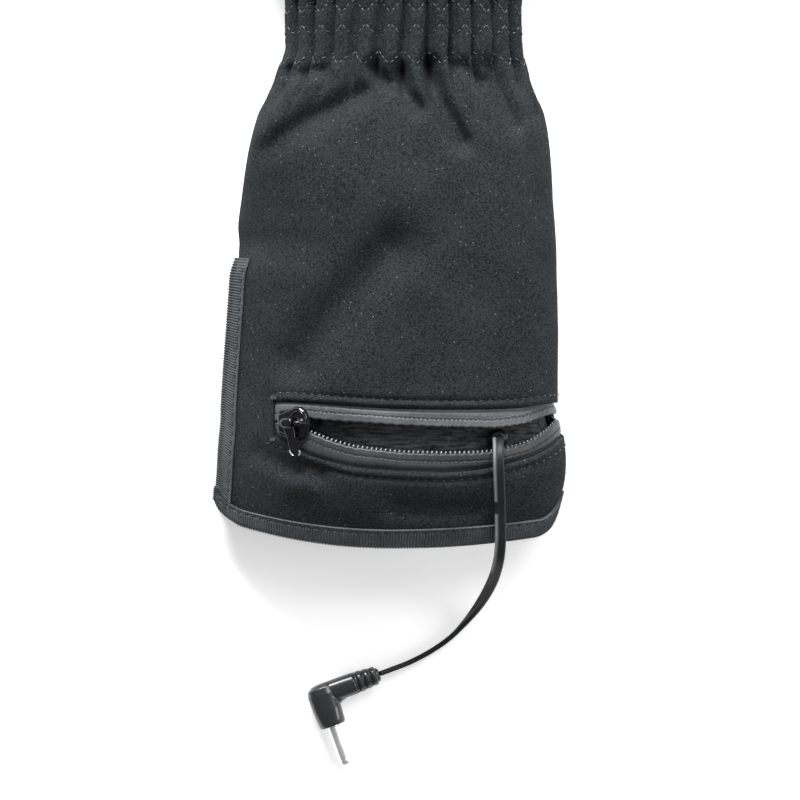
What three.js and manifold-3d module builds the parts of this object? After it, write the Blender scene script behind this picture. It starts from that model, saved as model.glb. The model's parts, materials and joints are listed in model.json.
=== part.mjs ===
// Heated glove for the left hand, lying on its palm with the back of the hand up.
// X runs across the glove with the thumb at +X, Y runs from the cuff's hem to the finger tips, Z is up.
// Lengths are millimetres. The middle line of the cuff is x = 0 and the hem's lowest point is y = 0
// while the pieces are made; the last lines move the whole glove so that its box stands centred on
// the origin. A cord with a right-angled plug comes out of the cuff's zipped battery pocket.

import * as THREE from 'three';
import Module from 'manifold-3d';

const wasm = await Module();
wasm.setup();

// Cloth
const wall = 2.2;             // padded shell fabric
const clearance = 0.3;        // gap between pieces that touch
const tapeThick = 0.8;        // ribbed binding tape
const tapeEase = 0.4;         // gap between the binding and the cloth it wraps
const liningThick = 1.0;      // knitted pocket lining

// Cuff, from the hem to the elastic, measured either side of the middle line
const cuffLength = 131;
const cuffLeft = 48.5;
const cuffRight = 46.1;
const cuffHeight = 34;
const hemRiseLeft = 7.5;      // how far the hem climbs from its middle to its left side
const hemRiseRight = 4;
const hemCornerLeft = 6;      // the extra climb of the rounded corners
const hemCornerRight = 6.5;
const ventLength = 80;        // open side seam, from the hem up
const ventSlit = 3.0;
const ventDrop = 5.4;         // height of the open seam above the surface the glove lies on
const bindingWidth = 4.1;     // hem tape that shows
const ventBindingWidth = 3.2; // side tape that shows

// Elasticated wrist
const wristLeft = 31.1;
const wristRight = 34.6;
const wristHeight = 27;
const gatherLength = 19;
const pleatDepth = 1.3;
const pleatFade = 25;         // how far the pleats run out below the elastic
const topPleats = 12;
const palmPleats = 7;

// Hand
const palmLength = 100;
const palmLeft = 47;
const palmRight = 49;
const palmHeight = 30;
const knuckleDrop = 11;       // how far the outer knuckles lie behind the middle one
const fingerGap = 0.8;
const fingerHeight = 21;
const thumbLength = 70;
const thumbWidth = 26;
const thumbHeight = 23;
const thumbAngle = 35;        // degrees from the fingers towards +X

// Battery pocket and its zip
const pocketPlace = 31;       // middle of the zip above the hem
const windowHeight = 17;      // cut in the shell, at its widest
const windowLeft = 0.70;      // left end of the cut, as a share of the half width
const windowRight = 0.97;     // right end, on the palm side of the right edge
const tapeSink = 0.5;         // zip tape's face below the fabric's face
const zipTapeThick = 0.9;
const toothHeight = 1.2;
const toothReach = 0.4;       // how far the teeth stand out of the tape's edge
const toothWidth = 1.3;
const pocketDepth = 9.5;
const pocketLow = 8;          // lining, from and to, above the hem
const pocketHigh = 56;
const pocketSeam = 0.8;       // the lining's edge below the shell's inside

// Zip slider and its pull tab
const sliderLength = 9.8;
const sliderWidth = 9.0;
const sliderNeck = 6.0;
const sliderThick = 1.6;
const crownHeight = 1.9;      // from the slider's face to the middle of the bar the tab hangs on
const crownSpan = 5.6;
const crownBar = 1.0;
const tabLength = 9.0;
const tabWidth = 3.4;
const tabThick = 0.9;
const knuckleRadius = 1.5;    // the tab's rolled end, round the bar
const knuckleBore = 1.0;
const tabRest = 13;           // degrees that the tab hangs below the slider's face

// Cord and plug
const cordWidth = 3.0;
const cordThick = 1.55;
const glandRadius = 2.8;
const glandNeck = 2.1;
const glandHeight = 2.0;
const glandX = 27.2;
const glandY = 29.5;
const plugHeight = 12;        // head, from its crown to the face the barrel stands on
const plugWidth = 8;
const plugReach = 13.8;       // from the head's back to the start of the ribs
const reliefLength = 6.8;
const reliefWidth = 6.1;
const reliefTip = 4.9;
const reliefRibs = 3;
const barrelDiameter = 3.5;
const barrelBore = 1.35;
const barrelLength = 10.8;
const plugTurn = 20;          // degrees that the plug lies turned from square

const colours = {
  softshell: { color: 0x34373a, roughness: 0.95, metalness: 0 },
  binding: { color: 0x232527, roughness: 0.8, metalness: 0 },
  zipTape: { color: 0x7a7e82, roughness: 0.6, metalness: 0 },
  coil: { color: 0x101112, roughness: 0.35, metalness: 0 },
  slider: { color: 0x060607, roughness: 0.2, metalness: 0.3 },
  lining: { color: 0x2c2f31, roughness: 1, metalness: 0 },
  cord: { color: 0x151617, roughness: 0.5, metalness: 0 },
  plug: { color: 0x17191a, roughness: 0.45, metalness: 0 },
  barrel: { color: 0xd8dadb, roughness: 0.15, metalness: 1 },
};

// Sections of the cuff. along is a share of the cuff's length. left, right and height run from 0,
// the size at the wrist, to 1, the cuff's largest.
const cuffSections = [
  { along: 0.000, left: 1.00, right: 0.86, height: -0.14 },
  { along: 0.035, left: 0.99, right: 0.91, height: 0.15 },
  { along: 0.080, left: 0.97, right: 0.98, height: 0.55 },
  { along: 0.125, left: 0.96, right: 1.00, height: 0.88 },
  { along: 0.170, left: 0.94, right: 0.97, height: 1.00 },
  { along: 0.214, left: 0.91, right: 0.91, height: 1.00 },
  { along: 0.252, left: 0.91, right: 0.80, height: 0.90 },
  { along: 0.350, left: 0.87, right: 0.80, height: 0.86 },
  { along: 0.430, left: 0.83, right: 0.81, height: 0.87 },
  { along: 0.510, left: 0.79, right: 0.79, height: 0.93 },
  { along: 0.596, left: 0.73, right: 0.77, height: 0.99 },
  { along: 0.622, left: 0.70, right: 0.76, height: 1.00 },
  { along: 0.665, left: 0.71, right: 0.73, height: 1.00 },
  { along: 0.720, left: 0.65, right: 0.68, height: 0.98 },
  { along: 0.770, left: 0.60, right: 0.66, height: 0.92 },
  { along: 0.820, left: 0.54, right: 0.62, height: 0.84 },
  { along: 0.865, left: 0.46, right: 0.56, height: 0.74 },
  { along: 0.905, left: 0.37, right: 0.46, height: 0.58 },
  { along: 0.940, left: 0.27, right: 0.34, height: 0.42 },
  { along: 0.972, left: 0.18, right: 0.22, height: 0.26 },
  { along: 1.000, left: 0.11, right: 0.11, height: 0.12 },
];

// Sections of the elastic, along its length, on the same scale.
const gatherSections = [
  { along: 0.00, left: 0.11, right: 0.11, height: 0.12 },
  { along: 0.18, left: 0.00, right: 0.00, height: 0.02 },
  { along: 0.60, left: 0.00, right: 0.00, height: 0.00 },
  { along: 1.00, left: 0.02, right: 0.02, height: 0.04 },
];

// Sections of the hand, from the elastic to the knuckles: 0 is the wrist's size and 1 the palm's.
const palmSections = [
  { along: 0.00, left: 0.02, right: 0.02, height: 0.04 },
  { along: 0.10, left: 0.22, right: 0.26, height: 0.40 },
  { along: 0.25, left: 0.55, right: 0.62, height: 0.85 },
  { along: 0.45, left: 0.84, right: 0.90, height: 1.00 },
  { along: 0.65, left: 0.97, right: 1.00, height: 0.90 },
  { along: 0.85, left: 1.00, right: 0.99, height: 0.55 },
  { along: 1.00, left: 0.97, right: 0.96, height: 0.10 },
];

// Folds in the back of the cuff. Each runs from one place to another: across is a share of the half
// width, along a share of the cuff's length. width and depth are shares of the cuff's height, and a
// depth below 0 is a ridge.
const folds = [
  { fromX: -0.33, fromY: 0.916, toX: -0.88, toY: 0.838, width: 0.110, depth: 0.062 },
  { fromX: -0.86, fromY: 0.930, toX: -0.93, toY: 0.852, width: 0.090, depth: -0.040 },
  { fromX: -0.89, fromY: 0.975, toX: -0.62, toY: 0.970, width: 0.080, depth: 0.050 },
  { fromX: -0.20, fromY: 0.985, toX: -0.13, toY: 0.950, width: 0.075, depth: 0.034 },
  { fromX: 0.03, fromY: 0.965, toX: 0.13, toY: 0.905, width: 0.075, depth: 0.038 },
  { fromX: 0.25, fromY: 0.977, toX: 0.41, toY: 0.835, width: 0.100, depth: 0.054 },
  { fromX: 0.52, fromY: 0.982, toX: 0.57, toY: 0.950, width: 0.070, depth: 0.030 },
  { fromX: 0.72, fromY: 0.975, toX: 0.77, toY: 0.872, width: 0.090, depth: 0.046 },
  { fromX: -0.05, fromY: 0.612, toX: -0.57, toY: 0.385, width: 0.240, depth: 0.046 },
  { fromX: -0.80, fromY: 0.165, toX: -0.46, toY: 0.140, width: 0.110, depth: 0.040 },
  { fromX: -0.56, fromY: 0.110, toX: -0.50, toY: 0.112, width: 0.120, depth: -0.030 },
];

// The zip's four edges. span is a share of the cut from its left end to its right end. The edges are
// shares of the cut's height, above and below the middle of the zip.
const zipEdges = [
  { span: 0.00, cutTop: 0.512, mouthTop: 0.185, mouthLow: 0.167, cutLow: -0.029 },
  { span: 0.05, cutTop: 0.512, mouthTop: 0.190, mouthLow: 0.172, cutLow: -0.140 },
  { span: 0.11, cutTop: 0.494, mouthTop: 0.247, mouthLow: 0.047, cutLow: -0.329 },
  { span: 0.18, cutTop: 0.471, mouthTop: 0.212, mouthLow: -0.100, cutLow: -0.441 },
  { span: 0.25, cutTop: 0.441, mouthTop: 0.182, mouthLow: -0.212, cutLow: -0.535 },
  { span: 0.38, cutTop: 0.400, mouthTop: 0.129, mouthLow: -0.300, cutLow: -0.600 },
  { span: 0.51, cutTop: 0.388, mouthTop: 0.106, mouthLow: -0.318, cutLow: -0.618 },
  { span: 0.61, cutTop: 0.388, mouthTop: 0.088, mouthLow: -0.312, cutLow: -0.576 },
  { span: 0.68, cutTop: 0.394, mouthTop: 0.082, mouthLow: -0.276, cutLow: -0.512 },
  { span: 0.80, cutTop: 0.418, mouthTop: 0.153, mouthLow: -0.141, cutLow: -0.376 },
  { span: 0.90, cutTop: 0.471, mouthTop: 0.271, mouthLow: 0.053, cutLow: -0.212 },
  { span: 0.96, cutTop: 0.488, mouthTop: 0.320, mouthLow: 0.206, cutLow: -0.071 },
  { span: 1.00, cutTop: 0.494, mouthTop: 0.300, mouthLow: 0.282, cutLow: 0.029 },
];

// Fingers from the thumb's side: width and length in millimetres, splay in degrees towards +X.
const fingers = [
  { name: 'index_finger', width: 23, length: 72, splay: 3.5 },
  { name: 'middle_finger', width: 23, length: 80, splay: 0.5 },
  { name: 'ring_finger', width: 22, length: 74, splay: -3 },
  { name: 'little_finger', width: 20.5, length: 58, splay: -7 },
];

// A finger's sections from its root to its tip: along is a share of its length, and the others are
// shares of its width and height. lift is the underside's height.
const fingerSections = [
  { along: 0.00, width: 1.00, height: 1.00, lift: 0.00 },
  { along: 0.30, width: 0.98, height: 0.96, lift: 0.00 },
  { along: 0.60, width: 0.94, height: 0.90, lift: 0.00 },
  { along: 0.82, width: 0.87, height: 0.82, lift: 0.00 },
  { along: 0.94, width: 0.70, height: 0.68, lift: 0.06 },
  { along: 1.00, width: 0.42, height: 0.40, lift: 0.24 },
];

// The free cord's route from the pocket's gland over the zip and the hem to the plug, as it lies.
const cordRoute = [
  [27.2, 29.5, 24.4],
  [27.2, 29.5, 25.8],
  [27.2, 29.2, 28.3],
  [27.2, 28.0, 30.6],
  [27.2, 25.9, 32.2],
  [27.25, 23.2, 32.8],
  [27.4, 19.0, 32.0],
  [27.6, 14.5, 30.5],
  [27.75, 10.0, 28.8],
  [27.85, 5.5, 27.7],
  [27.85, 1.5, 26.6],
  [27.5, -2.6, 24.4],
  [26.4, -7.5, 18.6],
  [24.4, -12.3, 11.2],
  [21.6, -16.9, 5.2],
  [18.2, -21.2, 2.2],
  [14.6, -24.9, 1.65],
  [9.0, -28.8, 1.65],
  [3.4, -31.7, 2.0],
  [-1.6, -33.6, 3.1],
  [-4.6, -34.7, 3.75],
];

// Steps of the meshes
const topColumns = 2 * topPleats;
const palmColumns = 2 * palmPleats;
const handColumns = 14;
const fingerColumns = 7;
const zipSteps = 22;

const clamp = (value, low, high) => Math.min(high, Math.max(low, value));
const mix = (a, b, share) => a + (b - a) * share;
const steps = (count) => Array.from({ length: count + 1 }, (_, i) => i / count);

function smooth(value) {
  const t = clamp(value, 0, 1);
  return t * t * (3 - 2 * t);
}

// The row of a table at a share along it, straight between its rows.
function rowAt(table, key, share) {
  let next = table.findIndex((row) => row[key] >= share);
  if (next < 0) next = table.length - 1;
  const high = table[next];
  const low = table[Math.max(0, next - 1)];
  const part = high === low ? 0 : clamp((share - low[key]) / (high[key] - low[key]), 0, 1);
  const result = {};
  for (const name of Object.keys(high)) result[name] = mix(low[name], high[name], part);
  return result;
}

// A closed mesh from triangles of points. Points that coincide are joined, triangles that shrink to
// a line are dropped, and the faces are turned outwards.
function solidFrom(triangles) {
  const places = new Map();
  const points = [];
  const indexOf = (point) => {
    const key = point.toArray().map((value) => Math.round(value * 1e4)).join();
    if (!places.has(key)) {
      places.set(key, points.length);
      points.push(point);
    }
    return places.get(key);
  };
  const faces = triangles
    .map((corners) => corners.map(indexOf))
    .filter(([a, b, c]) => a !== b && b !== c && c !== a);
  const volume = faces.reduce((sum, [a, b, c]) => {
    const normal = new THREE.Vector3().crossVectors(points[b], points[c]);
    return sum + points[a].dot(normal);
  }, 0);
  const outward = volume > 0 ? faces : faces.map(([a, b, c]) => [a, c, b]);
  return new wasm.Manifold(new wasm.Mesh({
    numProp: 3,
    vertProperties: new Float32Array(points.flatMap((point) => point.toArray())),
    triVerts: new Uint32Array(outward.flat()),
  }));
}

function solidFromGeometry(geometry) {
  const flat = geometry.index ? geometry.toNonIndexed() : geometry;
  const position = flat.getAttribute('position');
  const point = (i) => new THREE.Vector3().fromBufferAttribute(position, i);
  const triangles = [];
  for (let i = 0; i < position.count; i += 3) triangles.push([point(i), point(i + 1), point(i + 2)]);
  return solidFrom(triangles);
}

function geometryFrom(solid) {
  const mesh = solid.getMesh();
  const geometry = new THREE.BufferGeometry();
  geometry.setAttribute('position', new THREE.BufferAttribute(mesh.vertProperties, 3));
  geometry.setIndex(new THREE.BufferAttribute(mesh.triVerts, 1));
  geometry.computeVertexNormals();
  return geometry;
}

const quad = (a, b, c, d) => [[a, b, c], [a, c, d]];

// A cap across a ring whose points lie in pairs, the first with the last and so on.
function zipped(ring) {
  const last = ring.length - 1;
  const faces = [];
  for (let i = 0; i < last / 2; i += 1) {
    faces.push(...quad(ring[i], ring[i + 1], ring[last - i - 1], ring[last - i]));
  }
  return faces;
}

const reversed = (faces) => faces.map(([a, b, c]) => [a, c, b]);

// A cloth wall between an outer and an inner grid of points. Where a row closes on itself its two
// side edges meet, so they get no face. capped closes the last row, as at a finger's tip.
function clothWall(outer, inner, capped = false) {
  const faces = [];
  const lastRow = outer.length - 1;
  const lastColumn = outer[0].length - 1;
  const closed = (row) => row[0].distanceTo(row[lastColumn]) < 1e-4;
  for (let j = 0; j < lastRow; j += 1) {
    for (let i = 0; i < lastColumn; i += 1) {
      faces.push(...quad(outer[j][i], outer[j][i + 1], outer[j + 1][i + 1], outer[j + 1][i]));
      faces.push(...reversed(quad(inner[j][i], inner[j][i + 1], inner[j + 1][i + 1], inner[j + 1][i])));
    }
    if (closed(outer[j]) && closed(outer[j + 1])) continue;
    faces.push(...quad(outer[j][0], outer[j + 1][0], inner[j + 1][0], inner[j][0]));
    const [o, n] = [outer[j][lastColumn], inner[j][lastColumn]];
    faces.push(...quad(outer[j + 1][lastColumn], o, n, inner[j + 1][lastColumn]));
  }
  for (let i = 0; i < lastColumn; i += 1) {
    faces.push(...quad(outer[0][i + 1], outer[0][i], inner[0][i], inner[0][i + 1]));
    if (capped) continue;
    const [o, n] = [outer[lastRow], inner[lastRow]];
    faces.push(...quad(o[i], o[i + 1], n[i + 1], n[i]));
  }
  if (capped) faces.push(...zipped(outer[lastRow]), ...reversed(zipped(inner[lastRow])));
  return solidFrom(faces);
}

// A solid bar through closed rings, capped at both ends.
function solidLoft(rings) {
  const faces = [...reversed(zipped(rings[0])), ...zipped(rings[rings.length - 1])];
  for (let j = 0; j + 1 < rings.length; j += 1) {
    for (let i = 0; i + 1 < rings[j].length; i += 1) {
      faces.push(...quad(rings[j][i], rings[j][i + 1], rings[j + 1][i + 1], rings[j + 1][i]));
    }
  }
  return solidFrom(faces);
}

// Where a place round the cuff lies across it. turn runs 0 to 1 over the back from the left edge to
// the right and 1 to 2 back along the palm side; across is -1 at the left edge and 1 at the right.
function acrossAt(turn) {
  const over = turn <= 1 ? turn : 2 - turn;
  return 0.55 * (2 * over - 1) - 0.45 * Math.cos(Math.PI * over);
}

function turnAt(across) {
  let low = 0;
  let high = 1;
  for (let i = 0; i < 40; i += 1) {
    const middle = (low + high) / 2;
    if (acrossAt(middle) < across) low = middle;
    else high = middle;
  }
  return (low + high) / 2;
}

// How far a row of the cuff climbs from the middle towards its sides: all of it at the hem, where the
// cloth also stands back from the origin by what the tape adds below it.
function climb(across, row) {
  const side = across < 0 ? [hemRiseLeft, hemCornerLeft] : [hemRiseRight, hemCornerRight];
  const corner = clamp((Math.abs(across) - 0.85) / 0.15, 0, 1) ** 2;
  const fade = clamp(1 - row / cuffLength, 0, 1) ** 3;
  const setBack = tapeThick + tapeEase;
  return (setBack + side[0] * Math.min(1, across * across) + side[1] * corner) * fade;
}

function rowFor(across, y) {
  let row = y;
  for (let i = 0; i < 12; i += 1) row = y - climb(across, row);
  return row;
}

function cuffSize(row) {
  const gathered = row > cuffLength;
  const share = gathered ? (row - cuffLength) / gatherLength : row / cuffLength;
  const section = rowAt(gathered ? gatherSections : cuffSections, 'along', clamp(share, 0, 1));
  return {
    left: mix(wristLeft, cuffLeft, section.left),
    right: mix(wristRight, cuffRight, section.right),
    height: mix(wristHeight, cuffHeight, section.height),
  };
}

function foldDepth(across, row, halfWidth) {
  let depth = 0;
  for (const fold of folds) {
    const from = new THREE.Vector2(fold.fromX * halfWidth, fold.fromY * cuffLength);
    const run = new THREE.Vector2(fold.toX * halfWidth, fold.toY * cuffLength).sub(from);
    const here = new THREE.Vector2(across * halfWidth, row).sub(from);
    const share = clamp(here.dot(run) / run.lengthSq(), 0, 1);
    const distance = here.sub(run.multiplyScalar(share)).length() / (fold.width * cuffHeight);
    depth += fold.depth * cuffHeight * Math.exp(-distance * distance);
  }
  return depth;
}

// How open the side seam is at a row: 1 along the vent, 0 above it.
const openness = (row) => 1 - smooth((row - (ventLength - 1.5)) / 2.5);

// A point of the cuff or the elastic: depth is measured inwards from the outer face. The back is a
// flattened arch and the palm side lies on the floor. Along the vent the left side thins to an
// edge, with the two layers held apart by the slit.
function layerPoint(across, onBack, row, depth) {
  const size = cuffSize(row);
  const halfWidth = (size.left + size.right) / 2;
  const middle = (size.right - size.left) / 2;
  const share = Math.min(1, Math.abs(across));
  const open = across < 0 ? openness(row) : 0;
  const seam = across < 0 ? 1 - smooth((row - ventLength) / 35) : 0;
  const sideHeight = mix(0.36 * size.height, ventDrop, seam);
  const pleats = onBack ? topPleats : palmPleats;
  const wave = 0.5 + 0.5 * Math.cos(2 * Math.PI * pleats * turnAt(clamp(across, -1, 1)));
  const pleat = pleatDepth * wave * smooth((row - cuffLength + pleatFade) / pleatFade);
  const x = middle + across * (halfWidth - (depth + pleat) * (1 - open));
  const y = row + climb(across, row);
  const parting = open * (ventSlit / 2 + wall - depth);
  if (onBack) {
    const arch = (1 - share ** mix(2.4, 2.8, seam)) ** mix(0.5, 1, seam);
    const edge = sideHeight + parting;
    const crown = size.height - depth - pleat - foldDepth(across, row, halfWidth);
    return new THREE.Vector3(x, y, edge + (crown - edge) * arch);
  }
  const belly = Math.min(1, 1.15 * Math.sqrt(1 - share ** 6));
  const edge = sideHeight - parting;
  const overHem = 1 - smooth((row - bindingWidth - 1) / 6);
  const overVent = open * smooth((-across - 0.8) / 0.13);
  const tapeLift = (tapeThick + tapeEase) * Math.max(overHem, overVent);
  return new THREE.Vector3(x, y, edge - (edge - depth - pleat - tapeLift) * belly);
}

const shellPoint = (turn, row, depth) => layerPoint(acrossAt(turn), turn <= 1, row, depth);

// The places round the cuff where its mesh has a column.
const cuffTurns = [
  ...steps(topColumns),
  ...steps(palmColumns).slice(1).map((share) => 1 + share),
];

const shellGrid = (rows, depth) => rows.map((row) => cuffTurns.map((turn) => shellPoint(turn, row, depth)));

// The cut for the zip, as turns and heights.
const zipFrom = turnAt(-windowLeft);
const zipTo = 2 - turnAt(windowRight);
const zipTurn = (span) => mix(zipFrom, zipTo, span);

function zipPoint(span, y, depth) {
  const turn = zipTurn(span);
  return shellPoint(turn, rowFor(acrossAt(turn), y), depth);
}

function zipEdge(span, name) {
  return pocketPlace + rowAt(zipEdges, 'span', span)[name] * windowHeight;
}

// A strip along the zip between two heights and two depths.
function zipStrip(spans, low, high, outside, inside) {
  const grid = (depth) => [low, high].map((edge) => spans.map((span) => zipPoint(span, edge(span), depth)));
  return clothWall(grid(outside), grid(inside));
}

function cuffShell() {
  const rows = cuffSections.map((section) => section.along * cuffLength);
  const shell = clothWall(shellGrid(rows, 0), shellGrid(rows, wall));
  const cutter = zipStrip(
    steps(zipSteps),
    (span) => zipEdge(span, 'cutLow'),
    (span) => zipEdge(span, 'cutTop'),
    -cuffHeight / 10,
    wall + cuffHeight / 16,
  );
  return shell.subtract(cutter);
}

function wristGather() {
  const rows = gatherSections.map((section) => cuffLength + mix(clearance / gatherLength, 1, section.along)
    * gatherLength);
  return clothWall(shellGrid(rows, 0), shellGrid(rows, wall));
}

// Tape folded over an edge, as a wall: down one face, round the edge and back up the other. Each
// place gives the point a distance in from the cloth's edge at a depth, for one row of the tape.
function foldedTape(places, width) {
  const layer = (place, off) => [
    place(width, -off), place(0, -off), place(-off, -off),
    place(-off, wall + off), place(0, wall + off), place(width, wall + off),
  ];
  const outer = places.map((place) => layer(place, tapeThick + tapeEase));
  const inner = places.map((place) => layer(place, tapeEase));
  return clothWall(outer, inner);
}

// At the open seam the outside of the hem's tape runs on past the cloth, as far as the side tapes do.
function hemBinding() {
  return foldedTape(cuffTurns.map((turn) => (inwards, depth) => {
    const point = shellPoint(turn, inwards, depth);
    if (depth < 0) point.x -= (tapeThick + tapeEase) * clamp((-acrossAt(turn) - 0.95) / 0.05, 0, 1);
    return point;
  }), bindingWidth);
}

function ventBinding(onBack) {
  const from = bindingWidth + 4 * clearance;
  const to = ventLength - 2;
  return foldedTape(steps(9).map((share) => (inwards, depth) => {
    const row = mix(from, to, share);
    const size = cuffSize(row);
    const halfWidth = (size.left + size.right) / 2;
    return layerPoint(-1 + inwards / halfWidth, onBack, row, depth);
  }), ventBindingWidth);
}

const endGap = clearance / (cuffLeft + cuffRight);
const tapeSpans = steps(zipSteps).map((share) => mix(endGap, 1 - endGap, share));
const toothSpans = steps(zipSteps).map((share) => mix(0.09, 0.955, share));

function zipTapeUpper() {
  const low = (span) => zipEdge(span, 'mouthTop');
  const high = (span) => zipEdge(span, 'cutTop') - clearance;
  return zipStrip(tapeSpans, low, high, tapeSink, tapeSink + zipTapeThick);
}

function zipTapeLower() {
  const low = (span) => zipEdge(span, 'cutLow') + clearance;
  const high = (span) => zipEdge(span, 'mouthLow');
  return zipStrip(tapeSpans, low, high, tapeSink, tapeSink + zipTapeThick);
}

// A row of teeth lies under its tape's edge and stands out of it, less where the two rows close.
function zipTeeth(edgeName, side) {
  const under = tapeSink + zipTapeThick + clearance;
  const reach = (span) => {
    const gap = zipEdge(span, 'mouthTop') - zipEdge(span, 'mouthLow');
    return Math.min(toothReach, (gap - clearance) / 2);
  };
  const tip = (span) => zipEdge(span, edgeName) + side * reach(span);
  const root = (span) => zipEdge(span, edgeName) - side * (toothWidth - toothReach);
  const [low, high] = side > 0 ? [root, tip] : [tip, root];
  return zipStrip(toothSpans, low, high, under, under + toothHeight);
}

// The pocket's back hangs from the shell's inside round the zip and is deepest under the mouth.
function pocketDrop(turn, row) {
  const lowSide = smooth((row - pocketLow) / 13);
  const highSide = 1 - smooth((row - pocketPlace - 2) / (pocketHigh - pocketPlace - 2));
  const leftSide = smooth((turn - pocketFrom) / 0.16);
  const rightSide = 1 - smooth((turn - pocketTo + 0.2) / 0.2);
  const seam = wall + pocketSeam;
  return seam + (pocketDepth - seam) * Math.min(lowSide, highSide) * leftSide * rightSide;
}

const pocketFrom = zipFrom - 0.06;
const pocketTo = zipTo + 0.03;

function pocketLining() {
  const rows = steps(9).map((share) => mix(pocketLow, pocketHigh, share));
  const turns = steps(17).map((share) => mix(pocketFrom, pocketTo, share));
  const grid = (extra) => rows.map((row) => turns.map((turn) => (
    shellPoint(turn, row, pocketDrop(turn, row) + extra))));
  return clothWall(grid(0), grid(liningThick));
}

// A closed ring of the hand or a finger: a rounded arch over a flat underside.
function handRing(columns, centre, left, right, low, high, depth, yAt) {
  const turns = [...steps(columns), ...steps(columns).slice(1).map((share) => 1 + share)];
  const side = mix(low, high, 0.42);
  return turns.map((turn) => {
    const across = acrossAt(turn);
    const reach = across < 0 ? left : right;
    const x = centre + across * (reach - depth);
    const share = Math.min(1, Math.abs(across));
    const arch = Math.sqrt(1 - share ** 2.6);
    const belly = Math.min(1, 1.15 * Math.sqrt(1 - share ** 5));
    const z = turn <= 1
      ? side + (high - depth - side) * arch
      : side - (side - low - depth) * belly;
    return new THREE.Vector3(x, yAt(x), z);
  });
}

const palmStart = cuffLength + gatherLength + clearance;
const palmEnd = palmStart + palmLength;

// The knuckles lie on an arc, with the middle finger's the furthest out.
function knuckleLine(x) {
  const middle = palmRight - fingers[0].width - fingers[1].width / 2;
  return palmEnd - knuckleDrop * ((x - middle) / palmLeft) ** 2;
}

function palmRings(depth, endInset) {
  return palmSections.map((section) => {
    const left = mix(wristLeft, palmLeft, section.left);
    const right = mix(wristRight, palmRight, section.right);
    const high = mix(wristHeight, palmHeight, section.height);
    const yAt = (x) => mix(palmStart, knuckleLine(x) - endInset, section.along);
    return handRing(handColumns, 0, left, right, 0, high, depth, yAt);
  });
}

// Where each finger's root stands, side by side from the thumb's side.
function fingerRoots() {
  let edge = mix(wristRight, palmRight, palmSections[palmSections.length - 1].right) - fingerGap;
  return fingers.map((finger) => {
    const x = edge - finger.width / 2;
    edge -= finger.width + fingerGap;
    return { ...finger, x };
  });
}

// A finger's rings: its root follows the knuckles, and its axis leans by its splay.
function fingerRings(finger, depth, rootGap) {
  const lean = Math.tan(THREE.MathUtils.degToRad(finger.splay));
  const tipInset = depth > 0 ? depth : 0;
  return fingerSections.map((section) => {
    const reach = section.along * (finger.length - tipInset);
    const halfWidth = section.width * finger.width / 2;
    const low = section.lift * fingerHeight;
    const high = low + section.height * fingerHeight;
    const centre = finger.x + lean * reach;
    const yAt = (x) => mix(knuckleLine(x), knuckleLine(finger.x), section.along) + rootGap + reach;
    return handRing(fingerColumns, centre, halfWidth, halfWidth, low, high, depth, yAt);
  });
}

function fingerTube(finger) {
  return clothWall(fingerRings(finger, 0, clearance), fingerRings(finger, wall, clearance), true);
}

// The way from the palm into a finger, through the palm's end.
function fingerWay(finger) {
  const rings = fingerRings(finger, wall, 0);
  const back = rings[0].map((point) => point.clone().setY(point.y - 3 * wall));
  const front = rings[0].map((point) => point.clone().setY(point.y + wall));
  return solidLoft([back, front]);
}

// The thumb is made along Y from inside the palm and turned to its place.
const thumbRoot = new THREE.Vector3(
  mix(wristRight, palmRight, 0.1), palmStart + 0.34 * palmLength, 0,
);

function thumbRings(depth, from) {
  const turn = new THREE.Matrix4().makeRotationZ(THREE.MathUtils.degToRad(-thumbAngle));
  const place = new THREE.Matrix4().makeTranslation(thumbRoot).multiply(turn);
  const root = { along: from, width: 1.14, height: 1.0, lift: 0 };
  return [root, ...fingerSections].map((section) => {
    const y = section.along * (thumbLength - depth);
    const halfWidth = section.width * thumbWidth / 2;
    const low = section.lift * thumbHeight;
    const high = low + section.height * thumbHeight;
    const ring = handRing(fingerColumns, 0, halfWidth, halfWidth, low, high, depth, () => y);
    return ring.map((point) => point.applyMatrix4(place));
  });
}

function thumbTube() {
  const tube = clothWall(thumbRings(0, -0.34), thumbRings(wall, -0.34), true);
  return tube.subtract(solidLoft(palmRings(-clearance, -clearance)));
}

function palmShell() {
  let palm = clothWall(palmRings(0, 0), palmRings(wall, wall), true);
  for (const finger of fingerRoots()) palm = palm.subtract(fingerWay(finger));
  return palm.subtract(solidLoft(thumbRings(wall, -0.34)));
}

// The slider stands square on the tape near the zip's left end: x along the zip, z off the cloth.
const sliderSpan = 0.075;
const sliderY = pocketPlace + 0.165 * windowHeight;

function sliderPlace() {
  const centre = zipPoint(sliderSpan, sliderY, tapeSink - clearance);
  const along = zipPoint(sliderSpan + 0.02, sliderY, tapeSink - clearance)
    .sub(zipPoint(sliderSpan - 0.02, sliderY, tapeSink - clearance))
    .setY(0)
    .normalize();
  const across = new THREE.Vector3(0, 1, 0);
  const off = new THREE.Vector3().crossVectors(along, across);
  return new THREE.Matrix4().makeBasis(along, across, off).setPosition(centre);
}

// Extruded outline, standing on z = 0.
function plate(shape, depth) {
  return solidFromGeometry(new THREE.ExtrudeGeometry(shape, {
    depth, bevelEnabled: false, curveSegments: 5,
  }));
}

function block(width, depth, height, x, y, z) {
  return solidFromGeometry(new THREE.BoxGeometry(width, depth, height).translate(x, y, z));
}

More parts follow.
